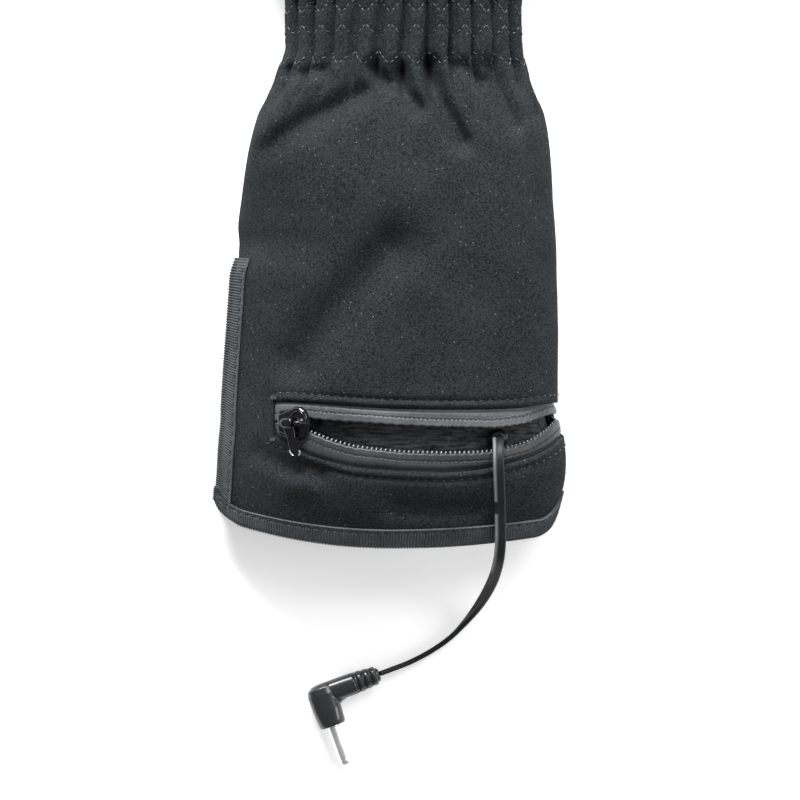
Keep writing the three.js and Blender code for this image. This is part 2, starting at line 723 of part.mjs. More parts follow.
// Two lobes at the open side and a narrow neck at the closed side.
function sliderBody() {
  const half = sliderWidth / 2;
  const neck = sliderNeck / 2;
  const end = sliderLength / 2;
  const outline = new THREE.Shape();
  outline.moveTo(-end, -neck);
  outline.lineTo(0, -half);
  outline.quadraticCurveTo(end, -half, end, -neck / 3);
  outline.lineTo(end - 1.6, 0);
  outline.lineTo(end, neck / 3);
  outline.quadraticCurveTo(end, half, 0, half);
  outline.lineTo(-end, neck);
  outline.closePath();
  const post = sliderThick + crownHeight;
  const postX = (crownSpan + crownBar) / 2;
  const bar = block(crownSpan + 2 * crownBar, crownBar, crownBar, 0, 0, post);
  const left = block(crownBar, crownBar, post, -postX, 0, post / 2);
  const right = block(crownBar, crownBar, post, postX, 0, post / 2);
  return plate(outline, sliderThick).add(bar).add(left).add(right);
}

// The tab is made along -Y from the bar's middle line, its end rolled round the bar.
function pullTab() {
  const half = tabWidth / 2;
  const outline = new THREE.Shape();
  outline.moveTo(-half, 0);
  outline.lineTo(-half, -tabLength + half);
  outline.quadraticCurveTo(-half, -tabLength, 0, -tabLength);
  outline.quadraticCurveTo(half, -tabLength, half, -tabLength + half);
  outline.lineTo(half, 0);
  outline.closePath();
  const roll = (radius, length) => solidFromGeometry(
    new THREE.CylinderGeometry(radius, radius, length, 12).rotateZ(Math.PI / 2),
  );
  const tab = plate(outline, tabThick).translate(0, 0, -tabThick / 2);
  return tab.add(roll(knuckleRadius, tabWidth)).subtract(roll(knuckleBore, 2 * tabWidth));
}

function barPlace() {
  const bar = new THREE.Matrix4().makeTranslation(0, 0, sliderThick + crownHeight);
  const hang = new THREE.Matrix4().makeRotationX(THREE.MathUtils.degToRad(tabRest));
  return sliderPlace().multiply(bar).multiply(hang);
}

// The gland is a moulded collar sewn to the pocket's back, standing up into the mouth.
function glandBase() {
  const nearby = [-1, 0, 1].flatMap((i) => [-1, 0, 1].map((j) => {
    const y = glandY + j * glandRadius;
    const size = cuffSize(y);
    const middle = (size.right - size.left) / 2;
    const reach = (size.left + size.right) / 2 - pocketDepth;
    const turn = turnAt((glandX + i * glandRadius - middle) / reach);
    const row = rowFor(acrossAt(turn), y);
    return shellPoint(turn, row, pocketDrop(turn, row)).z;
  }));
  return Math.max(...nearby) + clearance;
}

function cordGland() {
  const flange = 0.35 * glandHeight;
  const profile = [
    new THREE.Vector2(0, 0),
    new THREE.Vector2(glandRadius, 0),
    new THREE.Vector2(glandRadius, flange),
    new THREE.Vector2(glandNeck, flange * 1.3),
    new THREE.Vector2(glandNeck * 0.9, glandHeight),
    new THREE.Vector2(0, glandHeight),
  ];
  return new THREE.LatheGeometry(profile, 16).rotateX(Math.PI / 2);
}

const cordPoints = cordRoute.map((point) => new THREE.Vector3(...point));
const cordCurve = new THREE.CatmullRomCurve3(cordPoints, false, 'centripetal');

// The flat cord's section, wider across than it is thick.
function cordGeometry() {
  const section = new THREE.Shape();
  for (let i = 0; i < 8; i += 1) {
    const angle = (i + 0.5) * Math.PI / 4;
    const x = Math.cos(angle) * cordThick / 2 / Math.cos(Math.PI / 8);
    const y = Math.sin(angle) * cordWidth / 2 / Math.cos(Math.PI / 8);
    if (i === 0) section.moveTo(x, y);
    else section.lineTo(x, y);
  }
  section.closePath();
  const length = cordCurve.getLength();
  return new THREE.ExtrudeGeometry(section, {
    steps: Math.round(length / (0.9 * cordWidth)),
    extrudePath: cordCurve,
    bevelEnabled: false,
  });
}

// The plug in its own frame: x towards the cord, -y towards the barrel, z up, flat side down.
const plugPlace = (() => {
  const end = cordPoints[cordPoints.length - 1];
  const turn = new THREE.Matrix4().makeRotationZ(THREE.MathUtils.degToRad(plugTurn));
  const reach = new THREE.Vector3(clearance, 0, 0).applyMatrix4(turn);
  return new THREE.Matrix4().makeTranslation(end.x - reach.x, end.y - reach.y, plugWidth / 2).multiply(turn);
})();

// A round-cornered bar between two depths along X or Y, from rings of eight points.
function plugBar(stations) {
  const rings = stations.map(({ at, half, along }) => Array.from({ length: 13 }, (_, i) => {
    const angle = Math.PI - i * Math.PI / 6;
    const u = Math.cos(angle) * half;
    const w = Math.sin(angle) * half;
    return along === 'x' ? new THREE.Vector3(at, u, w) : new THREE.Vector3(u, at, w);
  }));
  return solidLoft(rings);
}

function plugBody() {
  const ribsFrom = -reliefLength;
  const back = ribsFrom - plugReach;
  const headX = back + plugWidth / 2;
  const headTop = reliefWidth / 2;
  const seat = headTop - plugHeight;
  const arm = plugBar([
    { at: headX, half: reliefWidth / 2, along: 'x' },
    { at: ribsFrom, half: reliefWidth / 2, along: 'x' },
  ]);
  const bevel = 1.2;
  const head = plugBar([
    { at: seat, half: plugWidth / 2 - bevel / 2, along: 'y' },
    { at: seat + bevel, half: plugWidth / 2, along: 'y' },
    { at: headTop - 2 * bevel, half: plugWidth / 2, along: 'y' },
    { at: headTop - bevel / 2, half: plugWidth / 2 - bevel, along: 'y' },
    { at: headTop, half: plugWidth / 2 - 2 * bevel, along: 'y' },
  ]).translate(headX, 0, 0);
  let body = head.add(arm);
  const pitch = reliefLength / (reliefRibs + 0.5);
  const taper = (x) => mix(reliefWidth, reliefTip, (x - ribsFrom) / reliefLength) / 2;
  const core = plugBar([
    { at: ribsFrom - 1, half: taper(ribsFrom) - 0.9, along: 'x' },
    { at: 0, half: taper(0) - 0.9, along: 'x' },
  ]);
  body = body.add(core);
  for (let i = 0; i < reliefRibs; i += 1) {
    const from = ribsFrom + (i + 0.5) * pitch;
    body = body.add(plugBar([
      { at: from, half: taper(from), along: 'x' },
      { at: from + pitch * 0.55, half: taper(from + pitch * 0.55), along: 'x' },
    ]));
  }
  return body;
}

const barrelPlace = new THREE.Vector3(
  -reliefLength - plugReach + plugWidth / 2,
  reliefWidth / 2 - plugHeight - clearance,
  0,
);

// A tube with a blind bore: the profile runs down its outside and back up the bore.
function plugBarrel() {
  const radius = barrelDiameter / 2;
  const bore = barrelBore / 2;
  const profile = [
    new THREE.Vector2(0, 0),
    new THREE.Vector2(radius, 0),
    new THREE.Vector2(radius, -barrelLength + 0.3),
    new THREE.Vector2(radius - 0.3, -barrelLength),
    new THREE.Vector2(bore, -barrelLength),
    new THREE.Vector2(bore, -0.12 * barrelLength),
    new THREE.Vector2(0, -0.12 * barrelLength),
  ];
  return geometryFrom(solidFromGeometry(new THREE.LatheGeometry(profile, 20)));
}

const glove = new THREE.Group();
const cordPieces = new THREE.Group();

function addPiece(parent, name, geometry, finish, place) {
  const mesh = new THREE.Mesh(geometry, new THREE.MeshStandardMaterial(colours[finish]));
  mesh.name = name;
  if (place) mesh.applyMatrix4(place);
  parent.add(mesh);
}

const addSolid = (name, solid, finish, place) => addPiece(glove, name, geometryFrom(solid), finish, place);

addSolid('cuff_shell', cuffShell(), 'softshell');
addSolid('wrist_gather', wristGather(), 'softshell');
addSolid('palm_shell', palmShell(), 'softshell');
addSolid('thumb', thumbTube(), 'softshell');
for (const finger of fingerRoots()) addSolid(finger.name, fingerTube(finger), 'softshell');
addSolid('hem_binding', hemBinding(), 'binding');
addSolid('vent_binding_back', ventBinding(true), 'binding');
addSolid('vent_binding_palm', ventBinding(false), 'binding');
addSolid('zip_tape_upper', zipTapeUpper(), 'zipTape');
addSolid('zip_tape_lower', zipTapeLower(), 'zipTape');
addSolid('zip_teeth_upper', zipTeeth('mouthTop', -1), 'coil');
addSolid('zip_teeth_lower', zipTeeth('mouthLow', 1), 'coil');
addSolid('pocket_lining', pocketLining(), 'lining');
addSolid('slider_body', sliderBody(), 'slider', sliderPlace());
addSolid('pull_tab', pullTab(), 'slider', barPlace());
addPiece(glove, 'cord_gland', cordGland(), 'plug', new THREE.Matrix4().makeTranslation(glandX, glandY, glandBase()));

const barrelMatrix = plugPlace.clone().multiply(new THREE.Matrix4().makeTranslation(barrelPlace));
addPiece(cordPieces, 'cord', cordGeometry(), 'cord');
addPiece(cordPieces, 'plug_body', geometryFrom(plugBody()), 'plug', plugPlace);
addPiece(cordPieces, 'plug_barrel', plugBarrel(), 'barrel', barrelMatrix);

// The glove's own box, without the cord and its plug, stands centred on the origin.
glove.updateMatrixWorld(true);
const box = new THREE.Box3().setFromObject(glove, true);
const part = new THREE.Group();
part.add(glove, cordPieces);
part.position.set(-(box.min.x + box.max.x) / 2, -(box.min.y + box.max.y) / 2, -box.min.z);

export default part;
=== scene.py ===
"""A heated glove for the left hand, lying on its palm with its cuff's zipped pocket half open.

Lengths are millimetres in the glove's own frame until a piece is made: x runs across the glove to the
thumb's side, y from the cuff's hem to the finger tips, and z up from the surface it lies on.
"""
import json
import math

import bmesh
import bpy
import numpy as np
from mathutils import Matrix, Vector


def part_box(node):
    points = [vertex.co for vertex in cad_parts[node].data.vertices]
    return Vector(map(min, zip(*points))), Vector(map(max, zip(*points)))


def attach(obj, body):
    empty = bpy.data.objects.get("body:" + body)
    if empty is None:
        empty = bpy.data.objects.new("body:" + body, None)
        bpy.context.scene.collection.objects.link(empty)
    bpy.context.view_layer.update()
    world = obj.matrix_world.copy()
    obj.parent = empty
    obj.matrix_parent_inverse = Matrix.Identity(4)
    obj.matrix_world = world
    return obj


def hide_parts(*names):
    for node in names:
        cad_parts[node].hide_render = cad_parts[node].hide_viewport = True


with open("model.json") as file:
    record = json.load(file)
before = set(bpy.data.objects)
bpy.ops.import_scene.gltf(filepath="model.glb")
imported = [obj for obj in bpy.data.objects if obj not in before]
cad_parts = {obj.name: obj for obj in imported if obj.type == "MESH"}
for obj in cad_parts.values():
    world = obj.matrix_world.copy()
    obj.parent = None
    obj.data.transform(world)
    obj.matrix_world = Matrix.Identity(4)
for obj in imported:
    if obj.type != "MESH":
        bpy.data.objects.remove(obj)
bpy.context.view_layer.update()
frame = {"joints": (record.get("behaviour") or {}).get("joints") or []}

# Cloth
WALL = 2.2
TAPE_THICK = 0.8
TAPE_EASE = 0.4
TAPE_OUT = TAPE_THICK + TAPE_EASE
LINING_THICK = 1.0

# Cuff and elastic
CUFF_LENGTH = 131.0
CUFF_LEFT = 48.5
CUFF_RIGHT = 46.1
CUFF_HEIGHT = 34.0
HEM_RISE_LEFT = 7.5
HEM_RISE_RIGHT = 4.0
HEM_CORNER_LEFT = 4.5
HEM_CORNER_RIGHT = 9.4
HEM_SLANT_RIGHT = 5.2
HEM_PULL_RIGHT = 0.8
HEM_ENDS = 0.9
CORNER_FROM = 0.85
CORNER_REACH = 0.97
VENT_LENGTH = 80.0
VENT_SLIT = 3.0
VENT_DROP = 5.4
BINDING_WIDTH = 4.1
BINDING_FLAT = 0.36
VENT_BINDING_WIDTH = 3.2
RIB_HEIGHT = 0.19
RIB_PITCH = 0.8
TAPE_STEP = 0.133
VENT_HALF_WIDTH = 47.0
WRIST_LEFT = 31.1
WRIST_RIGHT = 34.6
WRIST_HEIGHT = 27.0
GATHER_LENGTH = 19.0
GATHER_END = CUFF_LENGTH + GATHER_LENGTH
WRIST_TUCK = 3.0
TUCK_DIP = 2.0
FOLD_STRENGTH = 1.55
PLEAT_DEPTH = 2.9
PLEAT_SHARPNESS = 3.2
PLEATS_START, PLEATS_GROW = 117.0, 14.0
HELD_START, HELD_GROW = 126.0, 4.0
PINCH_DEPTH = 0.4
TOP_PLEATS = 12
PALM_PLEATS = 7
ZIGZAG_ROWS = (132.3, 139.3, 146.3)
ZIGZAG_HEIGHT = 4.0

# Stitches: a thread's length, the gap to the next, its radius, and how far its ends dip
HEM_STITCH = (1.7, 0.9, 0.20, 0.12)
VENT_STITCH = (1.6, 1.0, 0.24, 0.12)
TAPE_STITCH = (0.75, 0.45, 0.13, 0.10)
SEAM_STITCH = (1.5, 0.95, 0.26, 0.20)
TACK_STITCH = (0.9, 0.05, 0.16, 0.10)

# Hand
PALM_LENGTH = 100.0
PALM_LEFT = 47.0
PALM_RIGHT = 49.0
PALM_HEIGHT = 30.0
KNUCKLE_DROP = 11.0
FINGER_GAP = 0.8
SEAM_DEEP = 1.0
FINGER_HEIGHT = 21.0
THUMB_LENGTH = 70.0
THUMB_WIDTH = 26.0
THUMB_HEIGHT = 23.0
THUMB_ANGLE = 35.0
HAND_WALL = 1.6
HAND_VOXEL, HAND_SMOOTHING = 1.12, 9
CLEARANCE = 0.3

# Zip and pocket
POCKET_PLACE = 31.0
WINDOW_HEIGHT = 17.0
WINDOW_LEFT = 0.70
WINDOW_RIGHT = 0.97
POCKET_DEPTH = 9.5
POCKET_LOW = 8.0
POCKET_HIGH = 56.0
POCKET_SEAM = 0.8
WELT_RADIUS = 0.9
WELT_ROWS = (0, 0.12, 0.28, 0.5, 0.8, 1.2, 1.7, 2.2, 2.7)
WINDOW_REACH = 84.0
COIL_PITCH = 1.25
COIL_FROM, COIL_TO = 0.085, 0.962
TAPE_GROOVE = 2.15
TAPE_ROLL = 0.55
TAPE_SINK = 0.5
SLIDER_THICK = 1.6
CROWN_HEIGHT = 1.9
TAB_REST = 13.0
TAB_LEAN = 0.2
TAB_START = 1.0
TAB_LENGTH = 7.9
TAB_HALF_THICK = 0.44
EYE_RADIUS = 1.28
EYE_ROD = 0.34
EYE_HALF_LENGTH = 1.62

# Cord and plug
CORD_WIDTH = 3.0
CORD_THICK = 1.55
CORD_SIDES = 28
LEVEL_FROM, LEVEL_GROW = 8.0, 12.0
TWIST_FROM, TWIST_GROW = -6.0, 19.0
# Where the painted highlight on one core ends, starts again and fades, by length along the cord.
DASH_ENDS, DASH_STARTS, DASH_FADES = 22.6, 26.2, 44.0
GLAND_X = 27.2
GLAND_Y = 29.5
PLUG_WIDTH = 8.0
PLUG_HEIGHT = 12.0
PLUG_REACH = 13.8
RELIEF_LENGTH = 6.8
RELIEF_WIDTH = 6.1
RELIEF_TIP = 4.9
PLUG_TURN = 20.0
PLUG_VOXEL, PLUG_SMOOTHING = 0.17, 3
BARREL_DIAMETER = 3.5
BARREL_BORE = 1.35
BARREL_LENGTH = 10.8

# Where the glove's own frame stands in the shared one: the cord's collar gives it.
collar_low, collar_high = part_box("cord_gland")
SHIFT = np.array([
    (collar_low[0] + collar_high[0]) * 500 - GLAND_X,
    (collar_low[1] + collar_high[1]) * 500 - GLAND_Y,
    0.0,
])

# Sections of the cuff and the elastic by their row above the hem: 0 is the wrist's size, 1 the cuff's.
CUFF_SECTIONS = (
    # row,   left, right, height
    (0.0, 1.00, 0.86, -0.14),
    (4.6, 0.99, 0.91, 0.15),
    (10.5, 0.97, 0.98, 0.55),
    (16.4, 0.96, 1.00, 0.88),
    (22.3, 0.94, 0.97, 1.00),
    (28.0, 0.91, 0.91, 1.00),
    (33.0, 0.91, 0.80, 0.90),
    (45.9, 0.87, 0.80, 0.86),
    (56.3, 0.83, 0.81, 0.87),
    (66.8, 0.79, 0.79, 0.93),
    (73.4, 0.77, 0.77, 0.97),
    (78.1, 0.68, 0.77, 0.99),
    (81.5, 0.68, 0.76, 1.00),
    (87.1, 0.71, 0.73, 1.00),
    (94.3, 0.65, 0.68, 0.98),
    (100.9, 0.60, 0.66, 0.92),
    (107.4, 0.54, 0.62, 0.84),
    (113.3, 0.46, 0.56, 0.74),
    (118.6, 0.37, 0.46, 0.58),
    (123.1, 0.27, 0.34, 0.42),
    (127.3, 0.18, 0.22, 0.26),
    (131.0, 0.11, 0.11, 0.12),
    (134.4, 0.00, 0.00, 0.02),
    (142.4, 0.00, 0.00, 0.00),
    (150.0, 0.02, 0.02, 0.04),
)

# Folds of the cuff's back. Each runs through three places; a depth below 0 is a ridge.
FOLDS = (
    # x, y,  x, y,  x, y,  width, depth
    (-9.0, 122.5, -22.0, 116.0, -35.0, 108.5, 3.6, 3.1),
    (-25.0, 127.0, -31.5, 120.0, -35.5, 112.0, 3.4, -1.7),
    (-30.0, 129.0, -26.0, 128.0, -21.5, 128.8, 1.9, 2.3),
    (-33.6, 129.0, -33.4, 126.0, -35.0, 121.0, 1.8, 2.0),
    (-6.5, 129.5, -5.0, 127.5, -2.6, 125.0, 2.6, 2.7),
    (1.0, 128.5, 2.6, 122.5, 5.8, 118.4, 2.4, 2.8),
    (8.8, 130.0, 11.4, 121.0, 17.5, 109.5, 2.6, 3.2),
    (17.8, 129.8, 20.0, 127.6, 23.0, 125.4, 2.3, 2.2),
    (25.0, 130.0, 28.0, 121.5, 31.8, 114.6, 2.8, 3.3),
    (32.8, 130.0, 34.8, 123.0, 37.0, 117.0, 2.4, 2.6),
    (-2.0, 80.0, -13.0, 68.0, -26.5, 50.0, 6.6, 2.7),
    (-37.0, 22.0, -30.0, 19.8, -21.0, 18.4, 3.4, 2.0),
    (-27.5, 14.8, -26.0, 15.2, -24.5, 15.4, 4.2, -1.1),
    (0.0, 10.5, 10.0, 9.4, 20.0, 9.2, 3.0, 1.6),
    (40.5, 94.0, 39.8, 82.0, 38.6, 70.0, 1.6, 0.5),
    (-18.0, 100.0, -4.0, 96.0, 12.0, 98.0, 9.0, -0.5),
    (8.0, 72.0, 0.0, 62.0, -13.0, 46.0, 8.0, -0.6),
)

# The zip's edges, as shares of the window's height above and below the zip's middle.
ZIP_EDGES = (
    # span, cut top, mouth top, mouth low, cut low
    (0.00, 0.512, 0.185, 0.167, -0.029),
    (0.05, 0.512, 0.190, 0.172, -0.140),
    (0.11, 0.494, 0.247, 0.047, -0.329),
    (0.18, 0.471, 0.212, -0.100, -0.441),
    (0.25, 0.441, 0.182, -0.212, -0.535),
    (0.38, 0.400, 0.129, -0.300, -0.600),
    (0.51, 0.388, 0.106, -0.318, -0.618),
    (0.61, 0.388, 0.088, -0.312, -0.576),
    (0.68, 0.394, 0.082, -0.276, -0.512),
    (0.80, 0.418, 0.153, -0.141, -0.376),
    (0.90, 0.471, 0.271, 0.053, -0.212),
    (0.96, 0.488, 0.320, 0.206, -0.071),
    (1.00, 0.494, 0.300, 0.282, 0.029),
)
CUT_TOP, MOUTH_TOP, MOUTH_LOW, CUT_LOW = 1, 2, 3, 4

PALM_SECTIONS = (
    # along, left, right, height
    (0.00, 0.02, 0.02, 0.04),
    (0.10, 0.22, 0.26, 0.40),
    (0.25, 0.55, 0.62, 0.85),
    (0.45, 0.84, 0.90, 1.00),
    (0.65, 0.97, 1.00, 0.90),
    (0.85, 1.00, 0.99, 0.55),
    (1.00, 0.97, 0.96, 0.10),
)

FINGERS = (
    # width, length, splay in degrees
    (23.0, 72.0, 3.5),
    (23.0, 80.0, 0.5),
    (22.0, 74.0, -3.0),
    (20.5, 58.0, -7.0),
)

FINGER_SECTIONS = (
    # along, width, height, lift
    (0.00, 1.00, 1.00, 0.00),
    (0.30, 0.98, 0.96, 0.00),
    (0.60, 0.94, 0.90, 0.00),
    (0.82, 0.87, 0.82, 0.00),
    (0.94, 0.70, 0.68, 0.06),
    (1.00, 0.42, 0.40, 0.24),
)

# Creases: a share of the finger's length, or millimetres past the thumb's first one, and a depth.
FINGER_CREASES = ((0.36, 0.55), (0.42, 0.35), (0.68, 0.5), (0.73, 0.3))
THUMB_CREASES = ((0.0, 0.8), (3.2, 0.5))

CORD_ROUTE = (
    (27.2, 29.5, 24.4),
    (27.2, 29.5, 25.8),
    (27.2, 29.2, 28.3),
    (27.2, 28.0, 30.6),
    (27.2, 25.9, 32.2),
    (27.25, 23.2, 32.8),
    (27.4, 19.0, 32.0),
    (27.6, 14.5, 30.5),
    (27.75, 10.0, 28.8),
    (27.85, 5.5, 27.7),
    (27.85, 1.5, 26.6),
    (27.5, -2.6, 24.4),
    (26.4, -7.5, 18.6),
    (24.4, -12.3, 11.2),
    (21.6, -16.9, 5.2),
    (18.2, -21.2, 2.2),
    (14.6, -24.9, 1.65),
    (9.0, -28.8, 1.65),
    (3.4, -31.7, 2.0),
    (-1.6, -33.6, 3.1),
    (-4.6, -34.7, 3.75),
)


# Arithmetic that the shapes share

X_WAY, Y_WAY, Z_WAY = np.eye(3)


def mix(a, b, share):
    """From a to b by a share."""
    return a + (b - a) * share


def smooth(value):
    """Eases from 0 to 1: three times t squared less twice t cubed."""
    t = np.clip(value, 0, 1)
    return t * t * (3 - 2 * t)


def bell(distance, width):
    """1 at no distance, falling as e to the minus square of distance over width."""
    return np.exp(-(distance / width) ** 2)


def unit(vectors):
    """Vectors brought to a length of 1."""
    return vectors / np.maximum(np.linalg.norm(vectors, axis=-1, keepdims=True), 1e-12)


def circle(count):
    """The angles of a ring's points."""
    return np.arange(count) * 2 * np.pi / count


def signed_power(value, power):
    """The size of a value to a power, with the value's own sign."""
    return np.sign(value) * np.abs(value) ** power


def eased_column(table, column, blur):
    """A table's column against its first one, straight between rows and then blurred by a bell curve."""
    rows = np.array(table)
    places = np.linspace(rows[0, 0], rows[-1, 0], 1200)
    step = places[1] - places[0]
    values = np.interp(places, rows[:, 0], rows[:, column])
    reach = max(1, int(3 * blur / step))
    weights = bell(np.arange(-reach, reach + 1) * step, blur)
    padded = np.concatenate([
        2 * values[0] - values[reach:0:-1], values, 2 * values[-1] - values[-2:-reach - 2:-1],
    ])
    return places, np.convolve(padded, weights / weights.sum(), "valid")


CUFF_WIDE_LEFT = eased_column(CUFF_SECTIONS, 1, 2.0)
CUFF_WIDE_RIGHT = eased_column(CUFF_SECTIONS, 2, 2.0)
CUFF_TALL = eased_column(CUFF_SECTIONS, 3, 2.0)
ZIP_CURVES = {
    edge: eased_column(ZIP_EDGES, edge, 0.018) for edge in (CUT_TOP, MOUTH_TOP, MOUTH_LOW, CUT_LOW)
}


def across_at(turn):
    """Turn 0 to 1 goes over the back from the left edge to the right and 1 to 2 returns under the palm."""
    over = np.where(turn <= 1, turn, 2 - turn)
    return 0.55 * (2 * over - 1) - 0.45 * np.cos(np.pi * over)


TURNS = np.linspace(0, 1, 4001)
ACROSS = across_at(TURNS)


def turn_at(across):
    """The turn over the back that lies this far across, read back from a table."""
    return np.interp(across, ACROSS, TURNS)


# The cuff's surface

def climb(across, row):
    """The tape's set-back, side rise times across squared, and a corner's extra past 0.85 across.

    A corner is a quarter circle. On the right the tape's upper edge rises by a slant instead, and the
    difference of the two dies away within a few millimetres. The rest fades out up the cuff, by the
    cube of what is left of its length.
    """
    rise = np.where(across < 0, HEM_RISE_LEFT, HEM_RISE_RIGHT)
    fade = np.clip(1 - row / CUFF_LENGTH, 0, 1) ** 3
    past = np.clip((np.abs(across) - CORNER_FROM) / (1 - CORNER_FROM), 0, 1)
    round_off = (1 - np.sqrt(1 - (CORNER_REACH * past) ** 2)) / (1 - math.sqrt(1 - CORNER_REACH ** 2))
    slant = HEM_SLANT_RIGHT * past ** 1.3
    extra = np.where(across < 0, HEM_CORNER_LEFT * round_off, slant)
    dying = np.exp(-np.maximum(row, 0) / 5)
    edge_only = np.where(across < 0, 0, (HEM_CORNER_RIGHT * round_off - slant) * dying)
    return (TAPE_OUT + rise * np.minimum(1, across ** 2) + extra) * fade + edge_only


def row_for(across, y):
    """The row whose climb brings it to this y, found by repeated correction."""
    row = y
    for _ in range(12):
        row = y - climb(across, row)
    return row


def fold_depth(x, row):
    """Sum over the folds of depth times a bell of the distance to the fold's bent line."""
    total = np.zeros(np.broadcast(x, row).shape)
    for x0, y0, x1, y1, x2, y2, width, depth in FOLDS:
        nearest = np.full(total.shape, 1e9)
        for ax, ay, bx, by in ((x0, y0, x1, y1), (x1, y1, x2, y2)):
            dx, dy = bx - ax, by - ay
            share = np.clip(((x - ax) * dx + (row - ay) * dy) / (dx * dx + dy * dy), 0, 1)
            nearest = np.minimum(nearest, np.hypot(x - ax - share * dx, row - ay - share * dy))
        total += FOLD_STRENGTH * depth * bell(nearest, width)
    return total


def unevenness(x, y):
    """Slow swells of hand-laid cloth: three crossed sine waves, a few tenths of a millimetre."""
    return (
        0.22 * np.sin(x / 9.7 + 1.3 * np.sin(y / 17.0))
        + 0.18 * np.sin(y / 8.3 + x / 21.0 + 0.7)
        + 0.08 * np.sin((x + y) / 4.1 + 1.9)
    )


def zigzag_row(index, phase):
    """The height of one row of zigzag stitching: a triangle wave, turned over on every other row."""
    wave = 1 - 4 * np.abs(phase - np.round(phase))
    flip = -1 if index % 2 else 1
    return ZIGZAG_ROWS[index] + flip * wave * ZIGZAG_HEIGHT / 2


def gathers(turn_on_side, row, pleats):
    """Pleats of a sharpened cosine that fade below the elastic, with a pinch along each zigzag row."""
    phase = pleats * turn_on_side
    lean = 0.05 * np.sin(row / 3.1 + 5 * turn_on_side)
    wave = (0.5 + 0.5 * np.cos(2 * np.pi * (phase + lean))) ** PLEAT_SHARPNESS
    uneven = 1 + 0.25 * np.sin(7.3 * phase + 0.4)
    depth = PLEAT_DEPTH * uneven * wave * smooth((row - PLEATS_START) / PLEATS_GROW)
    held = smooth((row - HELD_START) / HELD_GROW)
    for index in range(len(ZIGZAG_ROWS)):
        depth = depth + PINCH_DEPTH * held * bell(row - zigzag_row(index, phase), 0.7)
    return depth - 0.5 * held


def window_distance(turn, y):
    """How far a place is outside the window: across its ends and past its two long edges, in one length."""
    span = (turn - ZIP_FROM) / (ZIP_TO - ZIP_FROM)
    inside = np.clip(span, 0, 1)
    beyond = np.abs(span - inside) * WINDOW_REACH
    top = zip_edge(inside, CUT_TOP)
    low = zip_edge(inside, CUT_LOW)
    past = np.maximum(np.maximum(y - top, low - y), 0)
    return np.hypot(beyond, past)


def cuff_sides(row):
    """How far the cuff reaches from its middle line to the left and to the right at a row."""
    left = mix(WRIST_LEFT, CUFF_LEFT, np.interp(row, *CUFF_WIDE_LEFT))
    right = mix(WRIST_RIGHT, CUFF_RIGHT, np.interp(row, *CUFF_WIDE_RIGHT))
    return left, right


def shell(turn, row, depth, dressed=False):
    """A point of the cuff at a depth in from its outer face.

    The back is a flattened arch, height times (1 - across to a power) to a power. The palm side lies
    flat and turns up at its edges. Along the vent the left side thins to an edge, and the two layers
    stand apart by the slit. Past the elastic's end the cloth dips, and runs on under the hand's. A
    dressed point also takes the turned welt and stitch groove of the zip's window.
    """
    turn, row = np.broadcast_arrays(np.asarray(turn, float), np.asarray(row, float))
    across = across_at(turn)
    back = turn <= 1
    left, right = cuff_sides(row)
    height = mix(WRIST_HEIGHT, CUFF_HEIGHT, np.interp(row, *CUFF_TALL))
    half = (left + right) / 2
    middle = (right - left) / 2
    share = np.minimum(1, np.abs(across))
    on_left = across < 0
    depth = depth + TUCK_DIP * smooth((row - GATHER_END + 0.2) / 1.2)
    opened = np.where(on_left, 1 - smooth((row - VENT_LENGTH + 5) / 9), 0)
    seam = np.where(on_left, 1 - smooth((row - VENT_LENGTH) / 35), 0)
    side = mix(0.36 * height, VENT_DROP, seam)
    over = np.where(back, turn, 2 - turn)
    pleat = gathers(over, row, np.where(back, TOP_PLEATS, PALM_PLEATS))
    y = row + climb(across, row)
    x = middle + across * (half - (depth + np.maximum(pleat, 0)) * (1 - opened))
    parting = opened * (VENT_SLIT / 2 + WALL - depth)
    flat_x = middle + across * half
    cloth = fold_depth(flat_x, row) - unevenness(flat_x, row) * smooth(row / 8)
    if dressed:
        away = window_distance(turn, y)
        welt = WELT_RADIUS - np.sqrt(WELT_RADIUS ** 2 - np.maximum(WELT_RADIUS - away, 0) ** 2)
        cloth = cloth + welt - 0.3 * bell(away - 1.1, 0.7) + 0.75 * bell(away - 2.25, 0.42)
    arch = (1 - share ** mix(2.4, 2.8, seam)) ** mix(0.5, 1, seam)
    edge = side + parting
    back_z = edge + (height - depth - pleat - cloth - edge) * arch
    belly = np.minimum(1, 1.15 * np.sqrt(1 - share ** 6))
    under = side - parting
    over_hem = 1 - smooth((row - BINDING_WIDTH - 1) / 6)
    over_vent = opened * smooth((-across - 0.8) / 0.13)
    lift = TAPE_OUT * np.maximum(over_hem, over_vent)
    under_z = under - (under - depth - np.maximum(pleat, 0) - lift) * belly
    return np.stack([x, y, np.where(back, back_z, under_z)], -1)


ZIP_FROM = turn_at(-WINDOW_LEFT)
ZIP_TO = 2 - turn_at(WINDOW_RIGHT)
LINING_FROM, LINING_TO = ZIP_FROM - 0.06, ZIP_TO + 0.03


def zip_edge(span, name):
    """The y of one of the zip's edges, by the share of the window's length from its left end."""
    return POCKET_PLACE + np.interp(span, *ZIP_CURVES[name]) * WINDOW_HEIGHT


def zip_point(span, y, depth):
    """A point of the cuff within the window's length, at a y and at a depth in from the face."""
    turn = mix(ZIP_FROM, ZIP_TO, np.asarray(span, float))
    return shell(turn, row_for(across_at(turn), y), depth)


def cuff_face(turn, row):
    """The cuff's outer face, without the window's welt."""
    return shell(turn, row, 0.0)


def outward(place, a, b, step=1e-3):
    """Unit normals of a surface of two parameters, from its two slopes."""
    along = place(a + step, b) - place(a - step, b)
    across = place(a, b + step) - place(a, b - step)
    return unit(np.cross(along, across))


# Making meshes

